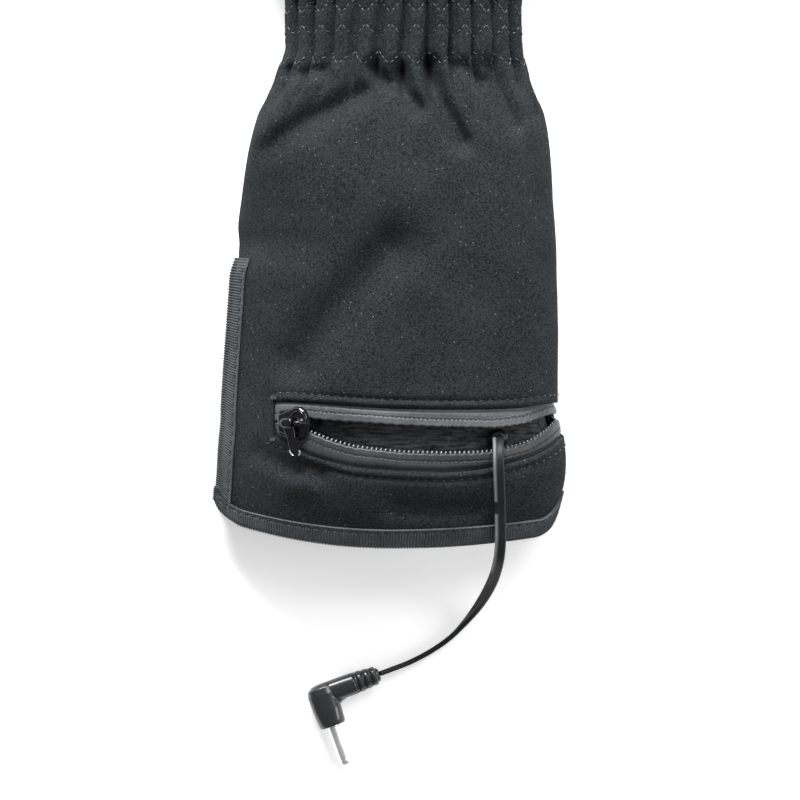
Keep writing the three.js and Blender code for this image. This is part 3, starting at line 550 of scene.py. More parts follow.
def quads(index, keep=None):
    """Four-sided faces between the neighbouring rows and columns of a grid of point numbers."""
    faces = np.stack([index[:-1, :-1], index[:-1, 1:], index[1:, 1:], index[1:, :-1]], -1)
    return faces.reshape(-1, 4) if keep is None else faces[keep]


def closed_grid(rows, columns):
    """Point numbers of rows of rings, with the first column again at the end."""
    index = np.arange(rows * columns).reshape(rows, columns)
    return np.concatenate([index, index[:, :1]], 1)


def mesh_from(name, points, faces, sharp, repair):
    """A mesh in metres in the shared frame, from points in millimetres and a list of face arrays.

    Edges bent by more than sharp degrees stay hard. Repair joins points that coincide and turns every
    face outwards.
    """
    mesh = bpy.data.meshes.new(name)
    verts = (np.asarray(points) + SHIFT) / 1000
    sizes = np.concatenate([np.full(len(part), part.shape[1]) for part in faces])
    loops = np.concatenate([part.ravel() for part in faces])
    mesh.vertices.add(len(verts))
    mesh.vertices.foreach_set("co", verts.ravel())
    mesh.loops.add(len(loops))
    mesh.loops.foreach_set("vertex_index", loops)
    mesh.polygons.add(len(sizes))
    mesh.polygons.foreach_set("loop_start", np.concatenate([[0], np.cumsum(sizes)[:-1]]))
    mesh.polygons.foreach_set("loop_total", sizes)
    mesh.update(calc_edges=True)
    if repair:
        work = bmesh.new()
        work.from_mesh(mesh)
        bmesh.ops.remove_doubles(work, verts=work.verts, dist=1e-6)
        bmesh.ops.dissolve_degenerate(work, edges=work.edges, dist=1e-7)
        bmesh.ops.recalc_face_normals(work, faces=work.faces)
        work.to_mesh(mesh)
        work.free()
    mesh.polygons.foreach_set("use_smooth", np.ones(len(mesh.polygons), bool))
    mesh.set_sharp_from_angle(angle=math.radians(sharp))
    return mesh


def piece(name, mesh, material, slot, body="glove", replaces=()):
    """An object that rides on a body and stands for the solids that it replaces."""
    made = bpy.data.objects.new(name, mesh)
    bpy.context.scene.collection.objects.link(made)
    made.data.materials.append(material)
    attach(made, body)
    if replaces:
        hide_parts(*replaces)
    return made


def solid(name, shape, material, slot, sharp=50, repair=True, **riding):
    """A piece from its points and faces."""
    return piece(name, mesh_from(name, *shape, sharp, repair), material, slot, **riding)


def sewn(name, runs, thread, slot):
    """Several runs of stitches as one piece."""
    return solid(name, joined(runs), thread, slot, 80, False)


def wall_between(outer, inner):
    """Points and faces of a closed wall between two grids."""
    rows, columns = outer.shape[:2]
    first = np.arange(rows * columns).reshape(rows, columns)
    second = first + rows * columns
    faces = [quads(first), quads(second)[:, ::-1]]
    for edge in ((0, slice(None)), (-1, slice(None)), (slice(None), 0), (slice(None), -1)):
        faces.append(quads(np.stack([first[edge], second[edge]])))
    return np.concatenate([outer.reshape(-1, 3), inner.reshape(-1, 3)]), faces


def bar_through(rings):
    """Points and faces of a solid through closed rings, with a fan of triangles over each end."""
    count, size = rings.shape[:2]
    index = closed_grid(count, size)
    ends = np.stack([rings[0].mean(0), rings[-1].mean(0)])
    low, high = count * size, count * size + 1
    start = np.stack([index[0, 1:], index[0, :-1], np.full(size, low)], -1)
    finish = np.stack([index[-1, :-1], index[-1, 1:], np.full(size, high)], -1)
    return np.concatenate([rings.reshape(-1, 3), ends]), [quads(index), start, finish]


def joined(parts):
    """Several (points, faces) put into one list of points and faces."""
    points, faces, start = [], [], 0
    for part_points, part_faces in parts:
        points.append(part_points)
        faces += [group + start for group in part_faces]
        start += len(part_points)
    return np.concatenate(points), faces


def copies(template, template_faces, places, sides, alongs, ups):
    """Copies of one small shape: each point is place + x side + y along + z up of its own copy."""
    count, size = len(places), len(template)
    points = (
        places[:, None]
        + template[None, :, 0:1] * sides[:, None]
        + template[None, :, 1:2] * alongs[:, None]
        + template[None, :, 2:3] * ups[:, None]
    )
    faces = [
        (group[None] + (np.arange(count) * size)[:, None, None]).reshape(-1, group.shape[1])
        for group in template_faces
    ]
    return points.reshape(-1, 3), faces


def bean(half_length, half_width, half_height, dip, rings=6, sides=6):
    """A stitch or a coil's turn: circles whose radius is the root of 1 - t squared, bent down at its ends."""
    t = np.linspace(-0.96, 0.96, rings)
    angle = circle(sides)
    radius = np.sqrt(1 - t ** 2) ** 0.8
    x = np.outer(radius, np.cos(angle)) * half_width
    y = np.outer(t, np.ones(sides)) * half_length
    z = np.outer(radius, np.sin(angle)) * half_height - dip * np.outer(t ** 2, np.ones(sides))
    return bar_through(np.stack([x, y, z], -1))


def line_lengths(line):
    """The length from a line's start to each of its points."""
    return np.concatenate([[0], np.cumsum(np.linalg.norm(np.diff(line, axis=0), axis=1))])


def sampled(line, lengths, at):
    """Points at given lengths along a line, straight between the line's own points."""
    return np.stack([np.interp(at, lengths, line[:, axis]) for axis in range(line.shape[1])], -1)


def stitch_run(line, normals, long, gap, radius, dip):
    """One stitch every long plus gap along a line on a surface, each lying along the line."""
    lengths = line_lengths(line)
    middles = np.arange(long / 2, lengths[-1] - long / 2, long + gap)
    places = sampled(line, lengths, middles)
    ups = unit(sampled(normals, lengths, middles))
    alongs = unit(sampled(line, lengths, middles + 0.2) - sampled(line, lengths, middles - 0.2))
    sides = unit(np.cross(alongs, ups))
    ups = np.cross(sides, alongs)
    shape, faces = bean(long / 2, radius, radius * 0.8, dip)
    return copies(shape, faces, places, sides, alongs, ups)


# Materials

class Look:
    """A material in the making: its nodes, its shader, and the object coordinates that its noises read."""

    def __init__(self, name):
        self.material = bpy.data.materials.new(name)
        self.material.use_nodes = True
        self.tree = self.material.node_tree
        self.shader = self.tree.nodes["Principled BSDF"]
        self.place = self.tree.nodes.new("ShaderNodeTexCoord").outputs["Object"]

    def fill(self, made, inputs):
        """Give a node its inputs: another node's output is linked, and anything else is set."""
        for name, value in inputs.items():
            if isinstance(value, bpy.types.NodeSocket):
                self.tree.links.new(value, made.inputs[name])
            else:
                made.inputs[name].default_value = value

    def node(self, kind, inputs, **settings):
        made = self.tree.nodes.new(kind)
        for name, value in settings.items():
            setattr(made, name, value)
        self.fill(made, inputs)
        return made

    def mapped(self, **inputs):
        """The object coordinates, stretched by a Scale or turned by a Rotation."""
        return self.node("ShaderNodeMapping", {"Vector": self.place, **inputs}).outputs["Vector"]

    def noise(self, scale, detail, rough, place=None):
        made = self.node("ShaderNodeTexNoise", {
            "Vector": self.place if place is None else place,
            "Scale": scale, "Detail": detail, "Roughness": rough,
        })
        return made.outputs["Fac"]

    def bands(self, degrees, period, warp):
        """A sine across the cloth at an angle, one wave each period in metres."""
        made = self.node("ShaderNodeTexWave", {
            "Vector": self.mapped(Rotation=(0, 0, math.radians(degrees))),
            "Scale": 2 * math.pi / 20 / period, "Distortion": warp,
        }, wave_type="BANDS", bands_direction="X")
        return made.outputs["Fac"]

    def maths(self, operation, *values, clamp=False):
        made = self.node("ShaderNodeMath", dict(enumerate(values)), operation=operation, use_clamp=clamp)
        return made.outputs[0]

    def weighted(self, *parts):
        """The sum of each value times its weight."""
        total = 0.0
        for value, weight in parts:
            total = self.maths("MULTIPLY_ADD", value, weight, total)
        return total

    def ramp(self, factor, *stops):
        made = self.node("ShaderNodeValToRGB", {"Fac": factor})
        for element, (place, colour) in zip(made.color_ramp.elements, stops):
            element.position = place
            element.color = (*colour, 1)
        return made.outputs["Color"]

    def blended(self, factor, under, over):
        """A colour laid over another node's by a factor."""
        made = self.node("ShaderNodeMix", data_type="RGBA", inputs={})
        self.fill(made, {0: factor, 6: under, 7: (*over, 1)})
        return made.outputs[2]

    def finish(self, colour, rough, bump, others):
        """Give the shader its colour, roughness and bump, and its other inputs by their names."""
        height, strength, distance = bump
        made = self.node("ShaderNodeBump", {"Height": height, "Strength": strength, "Distance": distance})
        self.fill(self.shader, {
            "Base Color": colour, "Roughness": rough, "Normal": made.outputs["Normal"], **others,
        })
        return self.material


def softshell_cloth(name, lint):
    """Matte knit-faced softshell: a fine crossed knit, mottled dye, and specks of lint."""
    look = Look(name)
    knit = look.maths("MULTIPLY", look.bands(38, 0.00052, 1.2), look.bands(-38, 0.00052, 1.2))
    grain = look.noise(1900, 3, 0.85)
    mottle = look.noise(95, 3, 0.6)
    tone = look.weighted((knit, 0.07), (grain, 0.92), (mottle, 0.14))
    cloth = look.ramp(tone, (0.46, (0.0066, 0.0077, 0.0086)), (0.61, (0.0300, 0.0344, 0.0377)))
    specks = look.node("ShaderNodeTexVoronoi", {"Vector": look.place, "Scale": 640.0, "Randomness": 1.0})
    chance = look.node("ShaderNodeSeparateColor", {"Color": specks.outputs["Color"]})
    near = look.maths("LESS_THAN", specks.outputs["Distance"], 0.12)
    few = look.maths("GREATER_THAN", chance.outputs["Red"], 0.72)
    fleck = look.maths("MULTIPLY", look.maths("MULTIPLY", near, few), lint)
    colour = look.blended(fleck, cloth, (0.20, 0.22, 0.235))
    height = look.weighted((knit, 0.15), (grain, 1.0))
    return look.finish(colour, 0.92, (height, 0.6, 0.00016), {
        "Specular IOR Level": 0.06, "Sheen Weight": 0.015, "Sheen Roughness": 0.55,
    })


def ribbed_tape(name):
    """Grosgrain binding: the ribs are in the mesh, and threads run across them."""
    look = Look(name)
    grain = look.noise(2300, 2, 0.6)
    tone = look.weighted((grain, 0.7), (look.noise(160, 2, 0.5), 0.3))
    colour = look.ramp(tone, (0.3, (0.026, 0.029, 0.032)), (0.75, (0.108, 0.120, 0.129)))
    return look.finish(colour, 0.75, (grain, 0.35, 0.00006), {
        "Specular IOR Level": 0.12, "Sheen Weight": 0.02,
    })


def coated_tape(name, deep, light, shade_starts, dark):
    """Zip tape under a rubbery film: satin, with faint lines of the weave showing through.

    It turns darker between two places across the glove: painted shade.
    """
    look = Look(name)
    weave = look.bands(24, 0.0009, 6.0)
    cloud = look.noise(120, 3, 0.6)
    grain = look.noise(1100, 3, 0.65)
    tone = look.weighted((weave, 0.10), (cloud, 0.5), (grain, 0.4))
    # Painted shade: the colour darkens along x from the first place to the second.
    along = look.node("ShaderNodeSeparateXYZ", {"Vector": look.place}).outputs["X"]
    start, end = (SHIFT[0] + shade_starts) / 1000, (SHIFT[0] + dark) / 1000
    far = look.node("ShaderNodeMapRange", {"Value": along, "From Min": start, "From Max": end})
    painted_shade = look.maths("MULTIPLY", far.outputs["Result"], 0.86)
    colour = look.blended(painted_shade, look.ramp(tone, (0.28, deep), (0.72, light)), (0.010, 0.011, 0.012))
    rough = look.maths("MULTIPLY_ADD", cloud, 0.25, 0.38)
    height = look.weighted((weave, 0.5), (grain, 1.0))
    return look.finish(colour, rough, (height, 0.35, 0.00008), {
        "Coat Weight": 0.15, "Coat Roughness": 0.35,
    })


def knitted_lining(name):
    """Brushed knit with short streaks that run across the pocket."""
    look = Look(name)
    streak = look.noise(1.0, 3, 0.6, look.mapped(Scale=(180, 1500, 900)))
    tone = look.weighted((streak, 0.75), (look.noise(1400, 2, 0.6), 0.25))
    colour = look.ramp(tone, (0.38, (0.010, 0.011, 0.012)), (0.62, (0.120, 0.130, 0.138)))
    return look.finish(colour, 0.95, (tone, 0.7, 0.0002), {"Sheen Weight": 0.08})


def moulded(name, colour, rough, grain_scale=900.0, coat=0.0, bump=0.2):
    """Moulded rubber, plastic or thread: nearly one colour, with a fine grain and finger marks."""
    look = Look(name)
    grain = look.noise(grain_scale, 3, 0.6)
    darker = tuple(0.7 * part for part in colour)
    uneven = look.maths("MULTIPLY_ADD", look.noise(110, 2, 0.5), 0.3, rough - 0.15)
    return look.finish(look.ramp(grain, (0.3, darker), (0.7, colour)), uneven, (grain, bump, 0.00005), {
        "Coat Weight": coat, "Coat Roughness": 0.12,
    })


def gloss_enamel(name):
    """Black enamel over cast zinc: mirror-like, with a slight orange peel and worn grey at random."""
    look = Look(name)
    wear = look.noise(420, 4, 0.7)
    colour = look.ramp(wear, (0.60, (0.004, 0.004, 0.005)), (0.78, (0.03, 0.03, 0.032)))
    rough = look.maths("MULTIPLY_ADD", wear, 0.2, 0.08)
    return look.finish(colour, rough, (look.noise(700, 2, 0.5), 0.12, 0.0001), {
        "Specular IOR Level": 0.25, "Coat Weight": 0.35, "Coat Roughness": 0.05,
    })


def plated_metal(name, colour, rough):
    """Turned and plated metal with faint scratches along it."""
    look = Look(name)
    scratch = look.noise(1.0, 3, 0.7, look.mapped(Scale=(1800, 260, 1800)))
    darker = tuple(0.86 * part for part in colour)
    uneven = look.maths("MULTIPLY_ADD", scratch, 0.14, rough - 0.05)
    return look.finish(look.ramp(scratch, (0.3, darker), (0.6, colour)), uneven, (scratch, 0.08, 0.00003), {
        "Metallic": 1.0,
    })


def twin_cord(name):
    """Satin black sheath. The piece's attribute paints grey dashes along one core: a painted highlight."""
    look = Look(name)
    grain = look.noise(1200, 2, 0.5)
    sheath = look.ramp(grain, (0.3, (0.005, 0.006, 0.007)), (0.7, (0.012, 0.013, 0.014)))
    dash = look.node("ShaderNodeAttribute", {}, attribute_name="highlight_stripe", attribute_type="GEOMETRY")
    patchy = look.maths("MULTIPLY_ADD", grain, 0.3, 0.75)
    # Painted highlight: grey dashes along one core of the black sheath.
    worn = look.maths("MULTIPLY", dash.outputs["Fac"], patchy, clamp=True)
    rough = look.maths("MULTIPLY_ADD", grain, 0.2, 0.42)
    return look.finish(look.blended(worn, sheath, (0.19, 0.20, 0.21)), rough, (grain, 0.12, 0.00004), {
        "Specular IOR Level": 0.3,
    })


SOFTSHELL = softshell_cloth("softshell", 0.5)
HAND_CLOTH = softshell_cloth("hand_softshell", 0.4)
BINDING = ribbed_tape("ribbed_binding")
# One tape material in two copies: the upper one's lighter colours are painted light, the lower one's darker
# colours painted shade, and each also darkens across the glove as painted shade.
UPPER_TAPE_PAINTED_LIGHT = coated_tape("coated_tape_upper_painted_light", (0.034, 0.038, 0.041), (0.096, 0.105, 0.112), 34.0, 40.5)
LOWER_TAPE_PAINTED_SHADE = coated_tape("coated_tape_lower_painted_shade", (0.011, 0.0125, 0.0135), (0.040, 0.044, 0.048), -10.0, 24.0)
LINING = knitted_lining("pocket_knit")
# Pale grey: painted glints on the zip's black nylon coil.
COIL = moulded("coil_painted_glint", (0.20, 0.212, 0.222), 0.26, 1600, 0.8, 0.05)
COIL_CORE = moulded("coil_core", (0.012, 0.013, 0.014), 0.45)
THREAD = moulded("sewing_thread", (0.012, 0.013, 0.014), 0.5, 2600, 0.0, 0.4)
# Thread coloured lighter grey than the cloth: a painted glint on the stitches, on a thread with a real glossy
# coat.
THREAD_PAINTED_GLINT = moulded("thread_painted_glint", (0.062, 0.067, 0.071), 0.36, 2600, 0.35, 0.3)
SEAM_THREAD = moulded("seam_thread", (0.015, 0.017, 0.018), 0.42, 2600, 0.2, 0.3)
ENAMEL = gloss_enamel("slider_enamel")
BARE_METAL = plated_metal("worn_tip", (0.62, 0.63, 0.64), 0.22)
SHEATH = twin_cord("cord_sheath")
PLUG_RUBBER = moulded("plug_rubber", (0.013, 0.0145, 0.016), 0.36, 1100, 0.4, 0.25)
NICKEL = plated_metal("barrel_nickel", (0.93, 0.94, 0.95), 0.36)
INSULATOR = moulded("barrel_insulator", (0.015, 0.015, 0.016), 0.5)


# Camera, looking straight down. The photograph is 800 pixels across at 3.7 pixels a millimetre.

PIXELS_PER_MM = 3.7
PHOTO_WIDTH = 800
PHOTO_MIDDLE_X = 397
PHOTO_HEM_Y = 548
FOCUS_HEIGHT = 20.0
CAMERA_RISE = 1600.0
SENSOR = 36.0


def photo_place(px, py):
    """Where a pixel of the photograph lies in the glove's own frame."""
    return (px - PHOTO_MIDDLE_X) / PIXELS_PER_MM, (PHOTO_HEM_Y - py) / PIXELS_PER_MM


def add_camera():
    data = bpy.data.cameras.new("camera")
    data.sensor_width = SENSOR
    data.lens = SENSOR * CAMERA_RISE / (PHOTO_WIDTH / PIXELS_PER_MM)
    data.clip_start = 0.05
    data.clip_end = 20
    camera = bpy.data.objects.new("camera", data)
    x, y = photo_place(PHOTO_WIDTH / 2, PHOTO_WIDTH / 2)
    camera.location = (np.array([x, y, FOCUS_HEIGHT + CAMERA_RISE]) + SHIFT) / 1000
    bpy.context.scene.collection.objects.link(camera)
    bpy.context.scene.camera = camera


add_camera()


# Cord

def curve_through(points, steps):
    """A centripetal Catmull-Rom curve: each span is the cubic whose end slopes weigh the neighbouring
    points by the square root of their distances. Returns evenly counted points along every span."""
    points = np.array(points, float)
    before = 2 * points[0] - points[1]
    after = 2 * points[-1] - points[-2]
    line = np.concatenate([[before], points, [after]])
    gaps = np.sqrt(np.linalg.norm(np.diff(line, axis=0), axis=1))[:, None]
    p0, p1, p2, p3 = line[:-3], line[1:-2], line[2:-1], line[3:]
    d0, d1, d2 = gaps[:-2], gaps[1:-1], gaps[2:]
    start = ((p1 - p0) / d0 - (p2 - p0) / (d0 + d1) + (p2 - p1) / d1) * d1
    end = ((p2 - p1) / d1 - (p3 - p1) / (d1 + d2) + (p3 - p2) / d2) * d1
    t = np.linspace(0, 1, steps, endpoint=False)[None, :, None]
    p1, p2, start, end = (array[:, None] for array in (p1, p2, start, end))
    curve = (
        (2 * t ** 3 - 3 * t ** 2 + 1) * p1 + (t ** 3 - 2 * t ** 2 + t) * start
        + (-2 * t ** 3 + 3 * t ** 2) * p2 + (t ** 3 - t ** 2) * end
    )
    return np.concatenate([curve.reshape(-1, 3), points[-1:]])


def make_cord():
    """A twin lead: two round cores side by side, carried along its route.

    Its section is two circles whose centres stand a quarter of the width either side of the middle,
    with a web between. It lies flat over the cuff, then turns a quarter about its own line and runs
    to the plug on its edge.
    """
    dense = curve_through(CORD_ROUTE, 24)
    lengths = line_lengths(dense)
    at = np.linspace(0, lengths[-1], 420)
    path = sampled(dense, lengths, at)
    tangents = unit(np.gradient(path, axis=0))
    flat = unit(X_WAY - (tangents @ X_WAY)[:, None] * tangents)
    sideways = unit(np.cross(tangents, Z_WAY))
    over_cuff = smooth((path[:, 1] - LEVEL_FROM) / LEVEL_GROW)[:, None]
    wide = unit(mix(sideways * np.sign((sideways * flat).sum(1))[:, None], flat, over_cuff))
    wide = unit(wide - (wide * tangents).sum(1)[:, None] * tangents)
    up = np.cross(wide, tangents)
    up = up * np.sign(up[:, 2:3] + 1e-9)
    twist = (np.pi / 2) * smooth((TWIST_FROM - path[:, 1]) / TWIST_GROW)[:, None]
    across = np.cos(twist) * wide + np.sin(twist) * up
    through = np.cross(tangents, across)
    radius = CORD_THICK / 2
    reach = CORD_WIDTH / 2 - radius
    c, s = np.cos(circle(CORD_SIDES)), np.sin(circle(CORD_SIDES))
    web = 0.45 * bell(c, 0.28)
    section_x = reach * np.sign(c) * smooth(np.abs(c) / 0.5) + radius * c
    section_y = radius * s * (1 - web)
    rings = path[:, None] + section_x[:, None] * across[:, None] + section_y[:, None] * through[:, None]
    cord = solid("twin_lead", bar_through(rings), SHEATH, "cord", repair=False, replaces=("cord",))
    along = np.concatenate([np.repeat(at, CORD_SIDES), [0, lengths[-1]]])
    side = np.concatenate([np.tile(section_x, len(at)), [0, 0]])
    face = np.concatenate([np.tile(section_y, len(at)), [0, 0]])
    # Painted highlight: grey dashes along the outer side of one core.
    second_dash = smooth((along - DASH_STARTS) / 0.3) * (1 - smooth((along - DASH_FADES) / 3))
    dashes = 1 - smooth((along - DASH_ENDS) / 0.3) + second_dash
    painted = smooth((-side - 0.55) / 0.12) * smooth((np.abs(face) - 0.02) / 0.2) * dashes
    layer = cord.data.attributes.new("highlight_stripe", "FLOAT", "POINT")
    layer.data.foreach_set("value", np.clip(painted, 0, 1).astype(np.float32))
    return cord, path


cord_piece, cord_path = make_cord()


# Plug

plug_angle = math.radians(PLUG_TURN)
cord_end = np.array(CORD_ROUTE[-1])
PLUG_ORIGIN = np.array([
    cord_end[0] - CLEARANCE * math.cos(plug_angle),
    cord_end[1] - CLEARANCE * math.sin(plug_angle),
    PLUG_WIDTH / 2,
])


def plug_frame(points):
    """From the plug's own frame, x to the cord and -y to the barrel, to the glove's."""
    x, y, z = points[..., 0], points[..., 1], points[..., 2]
    c, s = math.cos(plug_angle), math.sin(plug_angle)
    return np.stack([x * c - y * s, x * s + y * c, z], -1) + PLUG_ORIGIN


def rounded_ring(half_u, half_w, power, count=40):
    """A closed ring whose points are the cosine and sine to the power 2 / power, with their signs."""
    angle = circle(count)
    return half_u * signed_power(np.cos(angle), 2 / power), half_w * signed_power(np.sin(angle), 2 / power)


def remeshed(name, parts, voxel, smoothing):
    """Solids that overlap become one skin: a voxel grid takes their union and the steps are smoothed."""
    points, faces = joined(parts)
    rough = bpy.data.objects.new(name + "_rough", mesh_from(name + "_rough", points, faces, 50, True))
    bpy.context.scene.collection.objects.link(rough)
    net = rough.modifiers.new("net", "REMESH")
    net.mode = "VOXEL"
    net.voxel_size = voxel / 1000
    soft = rough.modifiers.new("soft", "SMOOTH")
    soft.factor = 0.5
    soft.iterations = smoothing
    graph = bpy.context.evaluated_depsgraph_get()
    mesh = bpy.data.meshes.new_from_object(rough.evaluated_get(graph))
    mesh.name = name
    bpy.data.objects.remove(rough)
    mesh.polygons.foreach_set("use_smooth", np.ones(len(mesh.polygons), bool))
    return mesh


def plug_parts():
    """The head is a rounded box down to the barrel's seat, the arm a bar that meets it, and between
    them a bar on the slant fills the inner corner. The relief's ribs are rings round a thin core."""
    ribs_from = -RELIEF_LENGTH
    back = ribs_from - PLUG_REACH
    head_x = back + PLUG_WIDTH / 2
    head_top = RELIEF_WIDTH / 2
    seat = head_top - PLUG_HEIGHT
    parts = []

    def add(stations, along):
        rings = []
        for at, half_u, half_w, power, shift in stations:
            u, w = rounded_ring(half_u, half_w, power)
            line = np.full(u.shape, float(at))
            rings.append(np.stack([line, u + shift, w] if along == "x" else [u + shift, line, w], -1))
        parts.append(bar_through(np.array(rings)))

    half = PLUG_WIDTH / 2
    add([
        (seat, half * 0.84, half * 0.84, 2.1, head_x),
        (seat + 0.5, half * 0.90, half * 0.90, 2.1, head_x),
        (seat + 1.3, half * 0.93, half * 0.93, 2.3, head_x),
        (seat + 4.5, half * 0.99, half * 0.98, 2.7, head_x),
        (head_top - 3.0, half, half * 0.98, 2.8, head_x),
        (head_top - 1.2, half * 0.93, half * 0.88, 2.7, head_x + 0.2),
        (head_top - 0.3, half * 0.72, half * 0.66, 2.5, head_x + 0.7),
        (head_top, half * 0.45, half * 0.40, 2.3, head_x + 1.0),
    ], "y")
    arm = RELIEF_WIDTH / 2
    add([
        (head_x - 1.0, arm * 0.9, arm * 1.05, 2.6, 0.0),
        (head_x + 2.0, arm, arm * 1.12, 2.6, 0.0),
        (ribs_from - 3.0, arm, arm * 1.04, 2.4, 0.0),
        (ribs_from - 0.4, arm, arm, 2.2, 0.0),
        (ribs_from, arm * 0.94, arm * 0.94, 2.1, 0.0),
    ], "x")
    add([
        (head_x - 2.0, 2.2, 2.6, 2.2, -2.6),
        (head_x + 3.0, 2.2, 2.6, 2.2, -2.1),
        (head_x + 4.9, 1.6, 2.2, 2.2, -1.9),
        (head_x + 7.6, 0.9, 1.4, 2.0, -1.6),
    ], "x")
    tip = RELIEF_TIP / 2
    add([
        (ribs_from - 1.0, arm * 0.80, arm * 0.80, 2.1, 0.0),
        (-0.2, tip * 0.78, tip * 0.78, 2.1, 0.0),
        (0.15, tip * 0.50, tip * 0.55, 2.0, 0.0),
    ], "x")
    pitch = RELIEF_LENGTH / 3.5
    for i in range(3):
        start = ribs_from + (i + 0.42) * pitch
        wide = mix(arm, tip, (start - ribs_from) / RELIEF_LENGTH)
        add([
            (start, wide * 0.90, wide * 0.90, 2.1, 0.0),
            (start + 0.18, wide, wide, 2.1, 0.0),
            (start + pitch * 0.55, wide * 0.97, wide * 0.97, 2.1, 0.0),
            (start + pitch * 0.55 + 0.2, wide * 0.86, wide * 0.86, 2.1, 0.0),
        ], "x")
    for sign in (-1, 1):
        add([
            (ribs_from - 0.5, arm * 0.17, arm * 0.60, 2.4, sign * arm * 0.80),
            (-pitch * 0.6, tip * 0.17, tip * 0.60, 2.4, sign * tip * 0.80),
        ], "x")
    return parts


def make_plug():
    """The plug's forms as one skin."""
    parts = [(plug_frame(points), faces) for points, faces in plug_parts()]
    mesh = remeshed("plug_moulding", parts, PLUG_VOXEL, PLUG_SMOOTHING)
    return piece("plug_moulding", mesh, PLUG_RUBBER, "plug", replaces=("plug_body",))


def turned(profile, count):
    """A profile of (radius, y) turned about the y axis: a ring for each of its points."""
    radius, y = np.array(profile, float).T
    angle = circle(count)
    return np.stack([
        np.outer(radius, np.cos(angle)), np.repeat(y[:, None], count, 1), np.outer(radius, np.sin(angle)),
    ], -1)


def make_barrel():
    """The sleeve runs out to a rounded lip and back up its bore; a dark ring lies inside the lip."""
    seat = RELIEF_WIDTH / 2 - PLUG_HEIGHT - CLEARANCE
    place = np.array([-RELIEF_LENGTH - PLUG_REACH + PLUG_WIDTH / 2, seat, 0.0])
    radius = BARREL_DIAMETER / 2
    bore = BARREL_BORE / 2
    end = -BARREL_LENGTH
    sleeve = [
        (0.02, 0.28), (radius * 0.94, 0.28), (radius * 0.94, 0.0), (radius, -0.05), (radius, end * 0.86),
        (radius - 0.07, end * 0.865), (radius - 0.07, end * 0.885), (radius, end * 0.89),
        (radius, end + 0.34), (radius - 0.12, end + 0.12), (radius - 0.34, end + 0.02),
        (radius - 0.50, end + 0.10), (radius - 0.52, end + 1.2), (0.02, end + 1.2),
    ]
    ring = [
        (radius - 0.54, end + 1.15), (radius - 0.54, end + 0.16), (bore + 0.1, end + 0.12), (bore, end + 0.2),
        (bore, end * 0.12), (0.02, end * 0.12), (0.02, end * 0.11), (radius - 0.9, end * 0.11),
        (radius - 0.9, end + 1.15),
    ]
    points, faces = bar_through(turned(sleeve, 56))
    barrel = solid(
        "barrel_sleeve", (plug_frame(points + place), faces), NICKEL, "barrel", 35,
        replaces=("plug_barrel",))
    rows = turned(ring + ring[:1], 40)
    liner = plug_frame(rows.reshape(-1, 3) + place), [quads(closed_grid(*rows.shape[:2]))]
    return barrel, solid("barrel_insulator", liner, INSULATOR, "plug", 35)


plug_piece = make_plug()
barrel_piece, insulator_piece = make_barrel()


# Cuff

def cuff_rows(turn):
    """Rows of every column: hem to the window's lower edge, the window, and on to the elastic's end.

    Beside the window the two edge lines run on level. Rows crowd together at the edges, where the
    cloth is turned under.
    """
    span = np.clip((turn - ZIP_FROM) / (ZIP_TO - ZIP_FROM), 0, 1)
    across = across_at(turn)
    low = row_for(across, zip_edge(span, CUT_LOW))
    top = row_for(across, zip_edge(span, CUT_TOP))
    close = np.array(WELT_ROWS)[:, None]
    below = mix(0, low - WELT_ROWS[-1], np.linspace(0, 1, 22)[:-1, None])
    near_low = low - close[::-1]
    between = mix(low, top, np.linspace(0, 1, 13)[1:-1, None])
    near_top = top + close
    above = mix(top + WELT_ROWS[-1], GATHER_END + WRIST_TUCK, np.linspace(0, 1, 136)[1:, None])
    rows = np.concatenate([below, near_low, between, near_top, above])
    return rows, len(below) + len(close) - 1, len(below) + len(close) + len(between)


def zip_lines(fine, coarse, at):
    """Triangles between a fine line and a coarse one that meets it at the given places."""
    step = np.searchsorted(at, np.arange(len(fine) - 1), side="right") - 1
    fans = np.stack([fine[:-1], fine[1:], coarse[step]], -1)
    gaps = np.stack([fine[at[1:]], coarse[1:], coarse[:-1]], -1)
    return np.concatenate([fans, gaps])


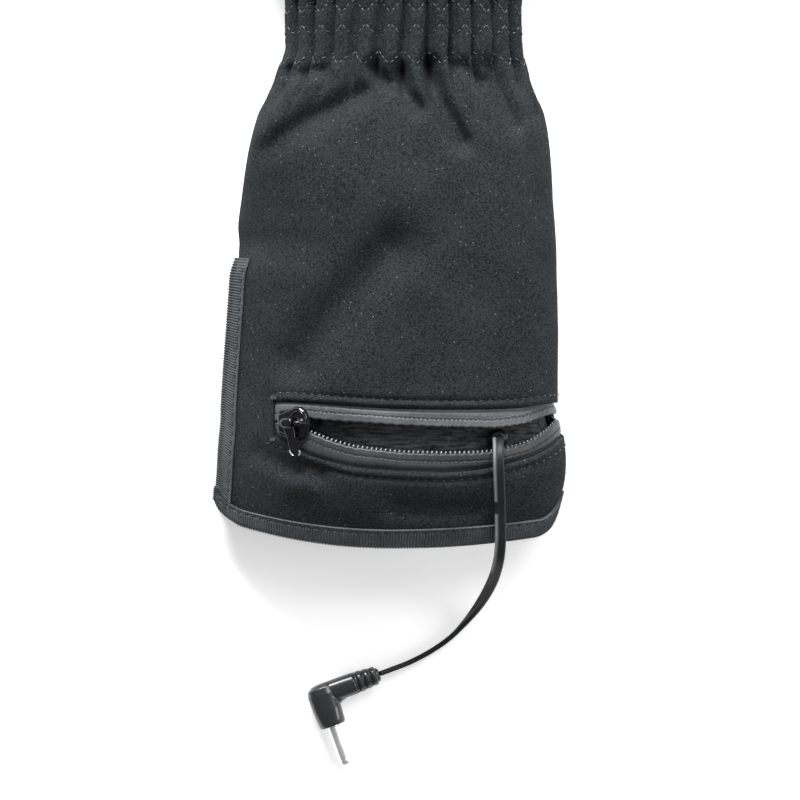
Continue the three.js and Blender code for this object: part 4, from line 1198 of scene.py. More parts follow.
def make_cuff():
    """The softshell from the hem to the elastic's end, as one wall with the window cut through it."""
    left = np.linspace(0, ZIP_FROM, 34)
    window = np.linspace(ZIP_FROM, ZIP_TO, 172)
    rest = np.linspace(ZIP_TO, 2, 118)
    turn = np.concatenate([left, window[1:], rest[1:]])
    from_column, to_column = len(left) - 1, len(left) + len(window) - 2
    rows, low_row, top_row = cuff_rows(turn)
    outer = shell(np.broadcast_to(turn, rows.shape), rows, 0.0, dressed=True)
    count, columns = rows.shape
    kept = np.unique(np.concatenate([
        np.arange(0, low_row, 4), np.arange(low_row, top_row + 1), np.arange(top_row, count, 6), [count - 1],
    ]))
    inner = shell(np.broadcast_to(turn, rows[kept].shape), rows[kept], WALL)
    inner_low, inner_top = np.searchsorted(kept, (low_row, top_row))
    first = np.arange(count * columns).reshape(count, columns)
    second = count * columns + np.arange(len(kept) * columns).reshape(len(kept), columns)
    faces = []
    for grid, low, top, way in ((first, low_row, top_row, 1), (second, inner_low, inner_top, -1)):
        keep = np.ones((grid.shape[0] - 1, columns - 1), bool)
        keep[low:top, from_column:to_column] = False
        faces.append(quads(grid, keep)[:, ::way])
    hole = slice(from_column, to_column + 1)
    for near, far in (
        (first[0], second[0]),
        (first[-1], second[-1]),
        (first[low_row, hole], second[inner_low, hole]),
        (first[top_row, hole], second[inner_top, hole]),
    ):
        faces.append(quads(np.stack([near, far])))
    for column in (from_column, to_column):
        faces.append(quads(np.stack([
            first[low_row:top_row + 1, column], second[inner_low:inner_top + 1, column],
        ])))
    for column in (0, columns - 1):
        faces.append(zip_lines(first[:, column], second[:, column], kept))
    points = np.concatenate([outer.reshape(-1, 3), inner.reshape(-1, 3)])
    solid("cuff_cloth", (points, faces), SOFTSHELL, "softshell", 60, replaces=("cuff_shell", "wrist_gather"))


make_cuff()


# Bindings

def tape_profile(width, count=30):
    """Across a folded tape: along one face, round the edge on half an ellipse, back along the other.

    Returns the distance in from the cloth's edge and the depth, for the tape's outside and its inside,
    and how far round each place is.
    """
    share = np.linspace(0, 1, count)

    def run(off):
        lead = np.clip(share / BINDING_FLAT, 0, 1)
        tail = np.clip((share - 1 + BINDING_FLAT) / BINDING_FLAT, 0, 1)
        bend = np.clip((share - BINDING_FLAT) / (1 - 2 * BINDING_FLAT), 0, 1)
        inward = width * (1 - lead) + width * tail - off * np.sin(np.pi * bend)
        depth = WALL / 2 - (WALL / 2 + off) * np.cos(np.pi * bend)
        return inward, depth
    return share, run(TAPE_OUT), run(TAPE_EASE)


def ribbed_binding(name, place, lengths, width, node_name, selvedge=0.16, plain=1.2):
    """A tape folded over an edge. Its outside carries ribs, a sine of the length along it, with a raised
    selvedge at its edge and a stitched groove beside that."""
    share, outside, inside = tape_profile(width)
    rib = RIB_HEIGHT * np.cos(2 * np.pi * lengths / RIB_PITCH)
    beads = 1 + 0.5 * np.cos(2 * np.pi * lengths / 0.9)
    face = np.minimum(share, 1 - share) / BINDING_FLAT * width
    edging = selvedge * bell(face - 0.25, 0.28)
    groove = 0.30 * bell(face - 0.95, 0.3)
    on_ribs = smooth((face - plain) / 0.4)
    rise = rib[:, None] * on_ribs[None] + edging[None] * beads[:, None] - groove[None]
    inward, depth = outside
    turned_down = 0.5 * (1 - smooth(face / 0.3))
    lean = np.where(share < 0.5, 1, -1)
    bend = np.clip((share - BINDING_FLAT) / (1 - 2 * BINDING_FLAT), 0, 1)
    off_depth = -np.cos(np.pi * bend)
    off_inward = -np.sin(np.pi * bend)
    outer = place(
        inward[None] + off_inward[None] * rise,
        depth[None] + off_depth[None] * rise + lean[None] * turned_down[None],
    )
    inner = place(
        np.broadcast_to(inside[0][None], rise.shape), np.broadcast_to(inside[1][None], rise.shape),
    )
    solid(name, wall_between(outer, inner), BINDING, "binding", 70, replaces=(node_name,))


def hem_turns(step=TAPE_STEP):
    """Turns round the hem at even steps of the tape's own length."""
    turn = np.concatenate([np.linspace(0, 1, 1500), np.linspace(1, 2, 1500)[1:]])
    lengths = line_lengths(shell(turn, np.full(turn.shape, 1.0), -1.0))
    at = np.arange(0, lengths[-1], step)
    return np.interp(at, lengths, turn), at


def make_hem_binding():
    """The tape round the hem: the cuff's own surface, by turn and by distance in from the edge.

    At both corners its outside is drawn to the left: outwards at the left one, by as much as the tape
    stands off the cloth, and inwards at the right one.
    """
    turn, lengths = hem_turns()

    def place(inward, depth):
        turns = np.broadcast_to(turn[:, None], inward.shape)
        return shifted(shell(turns, inward, depth), turns, smooth(-depth / 0.4))

    def shifted(points, turns, outside):
        across = across_at(turns)
        points[..., 0] -= TAPE_OUT * smooth((-across - HEM_ENDS) / (1 - HEM_ENDS)) * outside
        points[..., 0] -= HEM_PULL_RIGHT * smooth((across - HEM_ENDS) / (1 - HEM_ENDS)) * outside
        return points

    ribbed_binding("hem_tape", place, lengths, BINDING_WIDTH, "hem_binding")
    runs = []
    for first, last in ((0.012, 0.988), (1.012, 1.988)):
        part = np.linspace(first, last, 900)
        line = shifted(shell(part, np.full(part.shape, BINDING_WIDTH - 0.95), -1.18), part, 1.0)
        normals = outward(cuff_face, part, np.full(part.shape, BINDING_WIDTH))
        runs.append(stitch_run(line, normals, *HEM_STITCH))
    sewn("hem_stitches", runs, THREAD, "binding")


def make_vent_bindings():
    """The tapes round the vent's two edges: the cuff's own surface, by row and by distance in.

    Beside the hem the back's tape stands off further, over the end of the hem's, and the palm's lies
    closer to the cloth.
    """
    low, high = -0.6, VENT_LENGTH - 2
    row = np.arange(low, high, TAPE_STEP)
    for name, on_back, node_name in (
            ("vent_tape_back", True, "vent_binding_back"), ("vent_tape_palm", False, "vent_binding_palm")):
        def place(inward, depth, on_back=on_back):
            rows = np.broadcast_to(row[:, None], inward.shape)
            past_hem = smooth((rows - BINDING_WIDTH) / 1.2)
            over_hem = 1.45 - 0.45 * past_hem if on_back else 0.35 + 0.65 * past_hem
            inward = np.where(inward < 0, inward * over_hem, inward)
            depth = np.where(depth < 0, depth * over_hem, depth)
            left, right = cuff_sides(rows)
            over = turn_at(np.maximum(-1 + 2 * inward / (left + right), -1))
            turn = over if on_back else 2 - over
            points = shell(turn, rows, depth)
            points[..., 0] += np.minimum(inward, 0)
            return points

        ribbed_binding(name, place, row, VENT_BINDING_WIDTH, node_name, 0.0, 0.4)
        if not on_back:
            continue
        rows = np.linspace(low + 1, high - 0.6, 500)
        edge_turn = turn_at(-1 + (VENT_BINDING_WIDTH - 0.8) / VENT_HALF_WIDTH)
        line = shell(np.full(rows.shape, edge_turn), rows, -1.15)
        normals = outward(cuff_face, np.full(rows.shape, edge_turn), rows)
        sewn("vent_stitches", [stitch_run(line, normals, *VENT_STITCH)], THREAD, "binding")


make_hem_binding()
make_vent_bindings()


# Zip

def make_tape(name, low_edge, high_edge, low_gap, high_gap, mouth_high, material, node_name):
    """A coated tape between two of the zip's edges. Its mouth edge is rolled under and gently scalloped
    by the coil sewn below it, and a groove runs beside the coil."""
    span = np.linspace(0.004, 0.996, 420)
    share = np.linspace(0, 1, 34)
    low = zip_edge(span, low_edge) + low_gap
    high = zip_edge(span, high_edge) - high_gap
    along = span * WINDOW_REACH
    scallop = 0.09 * np.sin(2 * np.pi * along / (2 * COIL_PITCH)) + 0.06 * np.sin(along / 3.7)
    if mouth_high:
        high = high + scallop
    else:
        low = low + scallop
    y = mix(low[:, None], high[:, None], share[None])
    from_low, from_high = np.abs(y - low[:, None]), np.abs(high[:, None] - y)
    from_mouth, from_cloth = (from_high, from_low) if mouth_high else (from_low, from_high)
    groove = 0.16 * bell(from_mouth - TAPE_GROOVE, 0.28) + 0.05 * bell(from_mouth - 2.8, 0.2)
    rolled = TAPE_ROLL - np.sqrt(TAPE_ROLL ** 2 - np.maximum(TAPE_ROLL - from_mouth, 0) ** 2)
    tuck = 0.55 * bell(from_cloth, 0.8)
    ripple = 0.10 * np.sin(along / 5.3)[:, None] * np.sin(np.pi * share)
    ripple = ripple + 0.02 * np.sin(along / 0.4)[:, None]
    depth = TAPE_SINK + 0.12 + groove + rolled + tuck + ripple
    spans = np.broadcast_to(span[:, None], y.shape)
    outer = zip_point(spans, y, depth)
    inner = zip_point(spans, y, np.maximum(depth + 0.45, TAPE_SINK + 0.9))
    solid(name, wall_between(outer, inner), material, "zip_tape", 60, replaces=(node_name,))
    beside = high - TAPE_GROOVE if mouth_high else low + TAPE_GROOVE
    room = (beside > low + 0.8) & (beside < high - 0.8)
    line = zip_point(span[room], beside[room], TAPE_SINK + 0.16)
    normals = outward(lambda a, b: zip_point(a, b, 0.0), span[room], beside[room])
    run = stitch_run(line, normals * np.sign(normals[:, 2:3]), *TAPE_STITCH)
    sewn(name + "_stitches", [run], THREAD, "zip_tape")


def make_coil(name, edge, side, painted_glints, node_name):
    """Turns of a nylon coil, each a bent bean across the tape's edge, at the coil's pitch. One row stands out
    past the tape and is coloured pale grey, a painted glint on the black coil; the other row is black and
    tucked under.
    """
    span = np.linspace(COIL_FROM, COIL_TO, 1500)
    y = zip_edge(span, edge)
    line = zip_point(span, y + side * (0.12 if painted_glints else -0.35), 1.15)
    lengths = line_lengths(line)
    at = np.arange(0.4, lengths[-1], COIL_PITCH)
    places = sampled(line, lengths, at)
    alongs = unit(sampled(line, lengths, at + 0.2) - sampled(line, lengths, at - 0.2))
    ups = unit(np.cross(alongs, Y_WAY))
    ups = ups * np.sign(ups[:, 2:3])
    out = unit(np.cross(ups, alongs))
    out = out * np.sign(out[:, 1:2]) * side
    slant = unit(out + 0.32 * alongs)
    sunk = smooth((at / lengths[-1] - 0.62) / 0.12)[:, None]
    size = 1 - 0.4 * sunk
    turn_of_coil = bean(0.62, 0.27, 0.30, 0.30, 7, 8)
    turns = copies(*turn_of_coil, places, unit(np.cross(slant, ups)) * size, slant * size, ups * size)
    solid(name, turns, COIL if painted_glints else COIL_CORE, "coil", 80, False, replaces=(node_name,))
    core_line = zip_point(span[::10], y[::10] - side * 0.55, 1.95)
    ring = np.outer(0.5 * np.cos(circle(8)), Y_WAY) + np.outer(0.35 * np.sin(circle(8)), Z_WAY)
    solid(name + "_core", bar_through(core_line[:, None] + ring), COIL_CORE, "coil")


def zip_stitches():
    """Rows of sewing beside the window's two long edges, and a bar tack at each corner of its left end."""
    dark, light = [], []
    for edge, side, away, first, last in ((CUT_TOP, 1, 2.2, 0.01, 0.97), (CUT_LOW, -1, 2.2, -0.03, 0.97)):
        span = np.linspace(first, last, 900)
        turn = mix(ZIP_FROM, ZIP_TO, span)
        y = zip_edge(np.clip(span, 0, 1), edge) + side * away
        row = row_for(across_at(turn), y)
        normals = outward(cuff_face, turn, row)
        line = shell(turn, row, 0.0, dressed=True) + normals * 0.06
        dark.append(stitch_run(line, normals, *SEAM_STITCH))
    for edge, away in ((CUT_TOP, 0.9), (CUT_LOW, -1.2)):
        y = zip_edge(0.0, edge) + away
        side_turn = np.linspace(ZIP_FROM - 0.012, ZIP_FROM + 0.006, 60)
        row = row_for(across_at(side_turn), np.full(60, y))
        line = shell(side_turn, row, -0.12, dressed=True)
        normals = outward(cuff_face, side_turn, row)
        for step in (-0.3, 0.0, 0.3):
            light.append(stitch_run(line + step * Y_WAY, normals, *TACK_STITCH))
    sewn("zip_stitches", dark, SEAM_THREAD, "softshell")
    # The bar tacks take the lighter thread, whose grey is a painted glint.
    sewn("bar_tacks", light, THREAD_PAINTED_GLINT, "softshell")


def pocket_drop(turn, row):
    """How far the lining hangs below the cuff's face: its seam's depth at every edge, most in the middle."""
    low = smooth((row - POCKET_LOW) / 13)
    high = 1 - smooth((row - POCKET_PLACE - 2) / (POCKET_HIGH - POCKET_PLACE - 2))
    sides = smooth((turn - LINING_FROM) / 0.16) * (1 - smooth((turn - LINING_TO + 0.2) / 0.2))
    seam = WALL + POCKET_SEAM
    return seam + (POCKET_DEPTH - seam) * np.minimum(low, high) * sides


def make_lining():
    """The pocket's back: a slack sheet of knit with soft creases that run along the pocket."""
    turn = np.linspace(LINING_FROM, LINING_TO, 170)[None]
    row = np.linspace(POCKET_LOW, POCKET_HIGH, 110)[:, None]
    turn, row = np.broadcast_arrays(turn, row)
    drop = pocket_drop(turn, row)
    slack = smooth((drop - 4) / 4)
    crease = slack * (
        0.28 * np.sin(row / 1.9 + 3.0 * turn) + 0.20 * np.sin(row / 3.3 - 9 * turn)
        + 0.56 * bell(row - 30 - 6 * (turn - 0.35), 1.6)
    )
    outer = shell(turn, row, drop + crease)
    inner = shell(turn, row, drop + crease + LINING_THICK)
    solid("pocket_back", wall_between(outer, inner), LINING, "lining", 60, replaces=("pocket_lining",))


make_tape("tape_upper", MOUTH_TOP, CUT_TOP, 0.0, 0.22, False, UPPER_TAPE_PAINTED_LIGHT, "zip_tape_upper")
make_tape("tape_lower", CUT_LOW, MOUTH_LOW, 0.22, 0.0, True, LOWER_TAPE_PAINTED_SHADE, "zip_tape_lower")
make_coil("coil_upper", MOUTH_TOP, -1, False, "zip_teeth_upper")
make_coil("coil_lower", MOUTH_LOW, 1, True, "zip_teeth_lower")
zip_stitches()
make_lining()


def make_zigzags():
    """Three rows of zigzag sewing over the elastic: each leg of the wave holds three short stitches."""
    stitch = bean(0.72, 0.17, 0.15, 0.16)
    made = []
    for index in range(len(ZIGZAG_ROWS)):
        for on_back, pleats in ((True, TOP_PLEATS), (False, PALM_PLEATS)):
            legs = np.arange(2 * pleats)[:, None] + np.array([0.18, 0.5, 0.82])[None]
            phase = legs.ravel() / 2
            turn = phase / pleats if on_back else 2 - phase / pleats
            inside = (turn > 0.02) & (np.abs(turn - 1) > 0.02) & (turn < 1.98)
            turn, phase = turn[inside], phase[inside]
            row = zigzag_row(index, phase)
            step = 0.02

            def on_line(offset):
                moved = phase + offset
                at = moved / pleats if on_back else 2 - moved / pleats
                return shell(at, zigzag_row(index, moved), -0.05)

            alongs = unit(on_line(step) - on_line(-step))
            ups = outward(cuff_face, turn, row)
            sides = unit(np.cross(alongs, ups))
            places = cuff_face(turn, row) + 0.16 * ups
            made.append(copies(*stitch, places, sides, alongs, np.cross(sides, alongs)))
    sewn("elastic_stitches", made, THREAD_PAINTED_GLINT, "softshell")


make_zigzags()


# Slider and its tab

def joint_values():
    """The bar's place in the glove's own frame, and the way along it."""
    joint = next(j for j in frame["joints"] if j["name"] == "pull_tab_swing")
    return np.array(joint["pos_m"]) * 1000 - SHIFT, -np.array(joint["axis"])


BAR_PLACE, BAR_ALONG = joint_values()
SLIDER_OFF = np.cross(BAR_ALONG, Y_WAY)


def on_slider(points):
    """From the slider's own frame, x along the zip, y to the hand and z off the cloth, to the glove's."""
    centre = BAR_PLACE - (SLIDER_THICK + CROWN_HEIGHT) * SLIDER_OFF
    return centre + points[..., 0:1] * BAR_ALONG + points[..., 1:2] * Y_WAY + points[..., 2:3] * SLIDER_OFF


def slider_outline(grow):
    """Half width by place along the slider: a neck, a swelling shoulder and a round nose."""
    t = np.linspace(-1, 1, 41)
    places = [-1, -0.72, -0.35, 0.1, 0.5, 0.8, 0.95, 1.0]
    half = np.interp(t, places, [2.5, 2.9, 3.6, 4.4, 4.35, 3.4, 2.0, 0.6])
    return t * 4.85 * grow, half * grow


def slider_plate(base, levels):
    """Grown and shrunk outlines stacked by height, so the rim is rounded and the face is domed."""
    rings = []
    for height, grow in levels:
        x, half = slider_outline(grow)
        ring_x = np.concatenate([x, x[::-1]])
        ring_y = np.concatenate([-half, half[::-1]])
        rings.append(np.stack([ring_x, ring_y, np.full(ring_x.shape, base + height)], -1))
    return bar_through(np.array(rings))


def tube_along(line, radius, sides=14):
    """A round rod along a line of points, with a frame carried by the cross product with a fixed way."""
    line = np.array(line, float)
    tangents = unit(np.gradient(line, axis=0))
    first = unit(np.cross(tangents, Y_WAY if np.abs(tangents[:, 1]).max() < 0.9 else X_WAY))
    second = np.cross(tangents, first)
    angle = circle(sides)[:, None]
    ring = np.cos(angle) * first[:, None] + np.sin(angle) * second[:, None]
    return bar_through(line[:, None] + np.broadcast_to(radius, (len(line),))[:, None, None] * ring)


def make_slider():
    """Two stacked plates, a domed top with a raised round boss, and the bridge that holds the tab."""
    parts = [
        slider_plate(0.0, ((0.0, 0.90), (0.12, 0.97), (0.35, 1.0), (0.62, 0.98), (0.75, 0.93))),
        slider_plate(0.75, ((-0.2, 0.80), (0.1, 0.90), (0.4, 0.94), (0.62, 0.90), (0.8, 0.80), (0.9, 0.6))),
    ]
    angle = np.linspace(0, np.pi, 25)
    reach = 3.3
    rise = SLIDER_THICK + CROWN_HEIGHT
    bridge_x = -reach * np.cos(angle)
    bridge_z = 1.1 + (rise - 1.1) * np.sin(angle) ** 0.45
    bridge = np.stack([bridge_x, np.zeros(25), bridge_z], -1)
    parts.append(tube_along(bridge, 0.52 + 0.25 * np.abs(np.cos(angle)) ** 3))
    for x, size in ((-3.0, 1.15), (2.9, 1.5)):
        post = np.stack([np.full(7, x), np.zeros(7), np.linspace(0.9, 2.5, 7)], -1)
        parts.append(tube_along(post, size * np.array([1.1, 1.0, 0.95, 0.9, 0.82, 0.66, 0.3])))
    ring = np.linspace(0, 2 * np.pi, 40)
    boss = np.stack([1.9 + 2.35 * np.cos(ring), 0.2 + 2.9 * np.sin(ring), np.full(40, 1.62)], -1)
    parts.append(tube_along(boss, 0.3, 10))
    for side in (-1, 1):
        wing = np.stack([np.linspace(-3.9, 2.0, 9), side * np.linspace(2.9, 3.6, 9), np.full(9, 0.95)], -1)
        parts.append(tube_along(wing, 0.42, 10))
    points, faces = joined(parts)
    solid("slider", (on_slider(points), faces), ENAMEL, "slider", 40, replaces=("slider_body",))


def tab_half(share):
    """Half the tab's width by share of its length: broad at the eye and the end, with a waist between."""
    return np.interp(share, [0, 0.12, 0.35, 0.7, 0.88, 0.97, 1.0], [1.62, 1.55, 1.28, 1.5, 1.62, 1.25, 0.7])


def make_tab():
    """A pressed tab: an eye rolled round the bridge, a waisted shank with a raised rim, and a worn tip."""
    rest = math.radians(TAB_REST)
    back = math.cos(rest) * Y_WAY + math.sin(rest) * SLIDER_OFF
    up = np.cross(BAR_ALONG, back)

    def on_tab(points):
        x, y, z = points[..., 0:1], points[..., 1:2], points[..., 2:3]
        lean = TAB_LEAN * np.maximum(0, -y - TAB_START)
        return BAR_PLACE + (x + lean) * BAR_ALONG + y * back + z * up

    share = np.linspace(0, 1, 34)[:, None]
    u = signed_power(np.cos(circle(20)), 0.45)
    w = signed_power(np.sin(circle(20)), 0.55) * (1 + 0.28 * bell(np.abs(u) - 0.86, 0.12))
    shank = np.broadcast_arrays(tab_half(share) * u, -TAB_START - share * TAB_LENGTH, TAB_HALF_THICK * w)
    around, rod = circle(32)[:, None], circle(12)
    out = EYE_RADIUS + EYE_ROD * np.sin(rod)
    eye = np.stack(np.broadcast_arrays(
        EYE_HALF_LENGTH * signed_power(np.cos(rod), 0.5), out * np.cos(around), out * np.sin(around)), -1)
    index = closed_grid(32, 12)
    eye_faces = [quads(np.concatenate([index, index[:1]]))]
    points, faces = joined([bar_through(np.stack(shank, -1)), (eye.reshape(-1, 3), eye_faces)])
    solid("tab", (on_tab(points), faces), ENAMEL, "slider", 45, body="pull_tab", replaces=("pull_tab",))
    share = np.linspace(0.80, 0.985, 10)
    rims = []
    for side in (-1, 1):
        out = side * (tab_half(share) - 0.1)
        line = np.stack([out, -TAB_START - share * TAB_LENGTH, np.full(10, 0.42)], -1)
        rims.append(tube_along(line, 0.24, 8))
    points, faces = joined(rims)
    solid("tab_tip", (on_tab(points), faces), BARE_METAL, "slider", 60, body="pull_tab")


make_slider()
make_tab()


# Collar where the cord comes out of the pocket's back

def make_collar():
    """A turned collar: a thin flange, a hollow throat and a rounded lip round the cord."""
    height = (collar_high[2] - collar_low[2]) * 1000
    profile = [
        (0.02, 0.0), (2.75, 0.0), (2.8, 0.15), (2.75, 0.42), (2.45, 0.62), (2.15, 0.8), (2.0, 1.2),
        (1.98, height - 0.4), (1.9, height - 0.1), (1.7, height), (1.35, height - 0.05),
        (1.2, height - 0.5), (0.02, height - 0.6),
    ]
    points, faces = bar_through(turned(profile, 48))
    points = points[:, [0, 2, 1]] + (GLAND_X, GLAND_Y, collar_low[2] * 1000)
    solid("cord_collar", (points, faces), PLUG_RUBBER, "plug", replaces=("cord_gland",))


make_collar()


# Hand

PALM_START = GATHER_END + CLEARANCE
PALM_END = PALM_START + PALM_LENGTH
PALM_CURVES = [eased_column(PALM_SECTIONS, column, 0.045) for column in (1, 2, 3)]
FINGER_CURVES = [eased_column(FINGER_SECTIONS, column, 0.04) for column in (1, 2, 3)]
THUMB_ROOT = (mix(WRIST_RIGHT, PALM_RIGHT, 0.1), PALM_START + 0.34 * PALM_LENGTH)
THUMB_COS = math.cos(math.radians(THUMB_ANGLE))
THUMB_SIN = math.sin(math.radians(THUMB_ANGLE))


def knuckle_line(x):
    """Where the fingers start: a parabola with its top over the middle finger."""
    middle = PALM_RIGHT - FINGERS[0][0] - FINGERS[1][0] / 2
    return PALM_END - KNUCKLE_DROP * ((x - middle) / PALM_LEFT) ** 2


def hand_ring(centre, left, right, low, high, y_at, count=84):
    """One closed ring: a rounded arch over a flat underside, as the cuff's sections are."""
    turn = np.arange(count) * 2 / count
    across = across_at(turn)
    x = centre + across * np.where(across < 0, left, right)
    share = np.minimum(1, np.abs(across))
    side = mix(low, high, 0.42)
    arch = np.sqrt(1 - share ** 2.6)
    belly = np.minimum(1, 1.15 * np.sqrt(1 - share ** 5))
    z = np.where(turn <= 1, side + (high - side) * arch, side - (side - low) * belly)
    return np.stack([x, y_at(x), z], -1)


def palm_form():
    """Rings from the wrist to the knuckle line, each mixed from the wrist's size and the palm's."""
    rings = []
    for along in np.linspace(0, 1, 46):
        wide_left, wide_right, tall = (np.interp(along, *curve) for curve in PALM_CURVES)
        left = mix(WRIST_LEFT, PALM_LEFT, wide_left)
        right = mix(WRIST_RIGHT, PALM_RIGHT, wide_right)
        high = mix(WRIST_HEIGHT, PALM_HEIGHT, tall)
        rings.append(hand_ring(
            0.0, left, right, 0.0, high, lambda x: mix(PALM_START, knuckle_line(x), along),
        ))
    return bar_through(np.array(rings))


def finger_roots():
    """The middle of each finger across the hand, from the index finger to the little one."""
    edge = mix(WRIST_RIGHT, PALM_RIGHT, PALM_SECTIONS[-1][2]) - FINGER_GAP
    roots = []
    for width, _, _ in FINGERS:
        roots.append(edge - width / 2)
        edge -= width + FINGER_GAP
    return roots


def tube_size(along, width, height):
    """Half width, underside and top of a finger by share of its length. Its tip shrinks as an ellipse."""
    wide, tall, lift = (np.interp(max(along, 0.0), *curve) for curve in FINGER_CURVES)
    cap = math.sqrt(max(0.0, 1 - max(0.0, (along - 0.955) / 0.045) ** 2 * 0.86))
    low, high = lift * height, (lift + tall) * height
    middle = (low + high) / 2
    return wide * width / 2 * cap, mix(middle, low, cap), mix(middle, high, cap)


def finger_form(x, width, length, splay):
    """A tapering tube from inside the palm to a rounded tip, its axis leaning by the splay."""
    lean = math.tan(math.radians(splay))
    rings = []
    for along in np.concatenate([[-0.14, -0.07], np.linspace(0, 0.93, 40), np.linspace(0.94, 1.0, 9)]):
        half, low, high = tube_size(along, width, FINGER_HEIGHT)
        reach = along * length
        levelled = min(1, 3 * max(along, 0.0))
        rings.append(hand_ring(
            x + lean * reach, half, half, low, high,
            lambda at: mix(knuckle_line(at), knuckle_line(x), levelled) + CLEARANCE + reach, 56))
    return bar_through(np.array(rings))


def thumb_form():
    """The thumb's tube is made along y and turned outwards about its root inside the palm."""
    rings = []
    for along in np.concatenate([np.linspace(-0.30, 0.93, 48), np.linspace(0.94, 1.0, 9)]):
        half, low, high = tube_size(along, THUMB_WIDTH, THUMB_HEIGHT)
        half *= 1 + 0.14 * float(smooth(-along / 0.34))
        ring = hand_ring(0.0, half, half, low, high, lambda at: np.full(at.shape, along * THUMB_LENGTH), 56)
        x, y, z = ring.T
        rings.append(np.stack([
            THUMB_ROOT[0] + x * THUMB_COS + y * THUMB_SIN, THUMB_ROOT[1] - x * THUMB_SIN + y * THUMB_COS, z,
        ], -1))
    return bar_through(np.array(rings))


def vectors_of(items, key):
    """One vector for each of a mesh's vertices or faces."""
    flat = np.empty(len(items) * 3)
    items.foreach_get(key, flat)
    return flat.reshape(-1, 3)


def hand_seams(x, y, z, normals):
    """Where the hand's panels are sewn: a bell of the distance to each seam, none above 1.

    Two seams run along each finger's sides, one along the hand's outer edge, two along the thumb, one
    round the thumb's root, and one across the back below the knuckles.
    """
    level = smooth((0.9 - np.abs(normals[:, 2])) / 0.25)
    beyond = smooth((y - knuckle_line(x) + 14) / 5)
    fingers = np.maximum(bell(z - 5.6, 1.0), bell(z - 15.0, 1.0)) * level * beyond
    outer = bell(z - 10.5, 1.0) * level * (x < -25) * (1 - beyond)
    along = (x - THUMB_ROOT[0]) * THUMB_SIN + (y - THUMB_ROOT[1]) * THUMB_COS
    across = (x - THUMB_ROOT[0]) * THUMB_COS - (y - THUMB_ROOT[1]) * THUMB_SIN
    on_thumb = smooth((along - 16) / 4) * smooth((15 - np.abs(across)) / 2)
    thumb = np.maximum(bell(z - 5.4, 1.0), bell(z - 15.5, 1.0)) * level * on_thumb
    ring = bell(along - 15.0 - 0.010 * across ** 2, 1.1)
    ring = ring * smooth((across + 22) / 4) * smooth((17 - across) / 2)
    back = bell(y - knuckle_line(x) + 17, 1.1) * smooth((z - 9) / 3) * (normals[:, 2] > 0)
    return np.maximum.reduce([fingers, outer, thumb, ring, 0.8 * back])


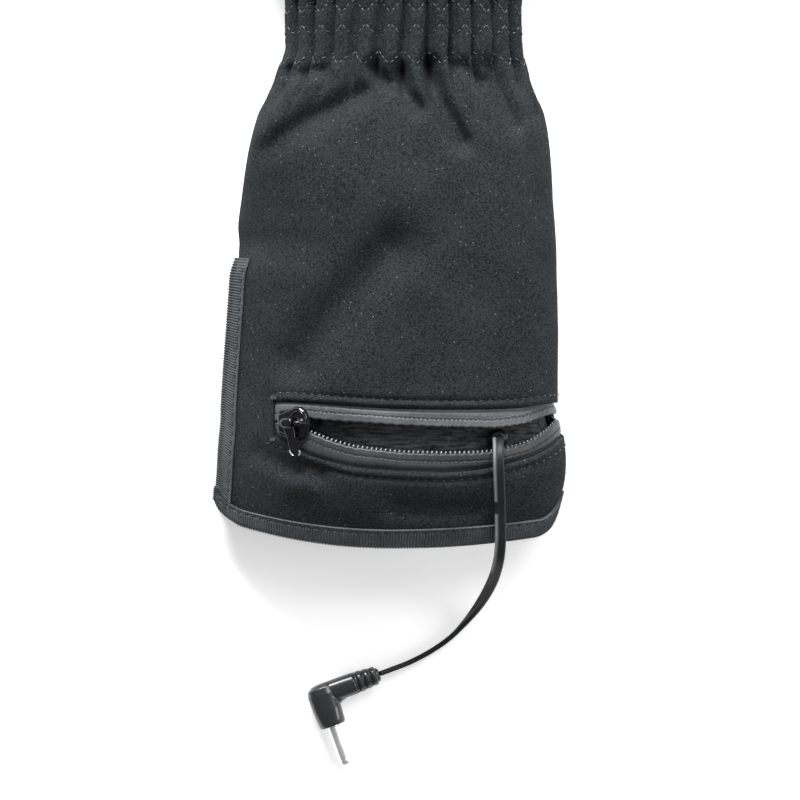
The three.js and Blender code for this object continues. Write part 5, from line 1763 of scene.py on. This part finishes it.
def make_hand():
    """Palm, fingers and thumb as one skin, opened at the wrist and given its thickness inwards.

    The union of the lofts is taken on a voxel grid. Creases lie where a hand bends: across the finger
    joints and round the thumb's root, each a bell of the distance to its line.
    """
    parts = [palm_form(), thumb_form()]
    for x, (width, length, splay) in zip(finger_roots(), FINGERS):
        parts.append(finger_form(x, width, length, splay))
    mesh = remeshed("hand_cloth", parts, HAND_VOXEL, HAND_SMOOTHING)
    points = vectors_of(mesh.vertices, "co") * 1000 - SHIFT
    normals = vectors_of(mesh.vertices, "normal")
    x, y, z = points.T
    upper = smooth((z - 8) / 8)
    move = 0.35 + 0.8 * unevenness(x, y) * upper
    for root, (width, length, splay) in zip(finger_roots(), FINGERS):
        lean = math.tan(math.radians(splay))
        for along, deep in FINGER_CREASES:
            centre = root + lean * along * length
            line = knuckle_line(root) + along * length + 0.012 * (x - centre) ** 2
            move -= deep * bell(y - line, 1.3) * smooth((width / 2 + 1 - np.abs(x - centre)) / 1.5)
    for offset, deep in THUMB_CREASES:
        line = PALM_START + 0.42 * PALM_LENGTH + offset + 0.9 * (x - 30)
        move -= deep * bell(y - line, 1.5) * bell(x - 36, 7)
    move -= SEAM_DEEP * hand_seams(x, y, z, normals)
    opened = np.flatnonzero(vectors_of(mesh.polygons, "center")[:, 1] * 1000 - SHIFT[1] < PALM_START + 0.9)
    points = points + normals * move[:, None]
    points[:, 2] = np.maximum(points[:, 2], 0.02)
    mesh.vertices.foreach_set("co", ((points + SHIFT) / 1000).ravel())
    work = bmesh.new()
    work.from_mesh(mesh)
    work.faces.ensure_lookup_table()
    bmesh.ops.delete(work, geom=[work.faces[index] for index in opened], context="FACES")
    work.to_mesh(mesh)
    work.free()
    hand = piece("hand_cloth", mesh, HAND_CLOTH, "softshell", replaces=(
        "palm_shell", "thumb", "index_finger", "middle_finger", "ring_finger", "little_finger"))
    thick = hand.modifiers.new("thickness", "SOLIDIFY")
    thick.thickness = HAND_WALL / 1000
    thick.offset = -1


make_hand()


# Floor and light

FLOOR_REACH = 6.0
FLOOR_DROP = 0.0003
FLOOR_GLOW = 0.42
WORLD_GLOW = 0.30


def add_floor():
    """A white floor that glows a little, so that it shows as white as the photograph's."""
    mesh = bpy.data.meshes.new("floor")
    corners = ((-1, -1), (1, -1), (1, 1), (-1, 1))
    mesh.from_pydata([(x * FLOOR_REACH, y * FLOOR_REACH, 0) for x, y in corners], [], [(0, 1, 2, 3)])
    floor = bpy.data.objects.new("floor", mesh)
    floor.location.z = -FLOOR_DROP
    bpy.context.scene.collection.objects.link(floor)
    look = Look("floor")
    look.fill(look.shader, {
        "Base Color": (0.95, 0.95, 0.95, 1), "Roughness": 0.9,
        "Emission Color": (1, 1, 1, 1), "Emission Strength": FLOOR_GLOW,
    })
    mesh.materials.append(look.material)


def add_light(name, place, aim, size, power):
    """A rectangular lamp at a place, turned to its aim."""
    data = bpy.data.lights.new(name, "AREA")
    data.shape = "RECTANGLE"
    data.size, data.size_y = size
    data.energy = power
    light = bpy.data.objects.new(name, data)
    light.location = place
    light.rotation_mode = "QUATERNION"
    light.rotation_quaternion = (Vector(aim) - Vector(place)).to_track_quat("-Z", "Y")
    bpy.context.scene.collection.objects.link(light)


def add_world():
    world = bpy.data.worlds.new("studio")
    world.use_nodes = True
    background = world.node_tree.nodes["Background"]
    background.inputs["Color"].default_value = (1, 1, 1, 1)
    background.inputs["Strength"].default_value = WORLD_GLOW
    bpy.context.scene.world = world


add_floor()
add_world()
add_light("key", (-0.22, 1.0, 0.62), (-0.015, -0.08, 0), (0.60, 0.40), 36)
add_light("top", (0.60, 0.50, 1.10), (-0.01, -0.06, 0), (0.5, 0.5), 7)
add_light("side", (0.9, -0.15, 0.5), (0, -0.08, 0), (0.3, 0.5), 3)
bpy.context.scene.view_settings.view_transform = "Standard"
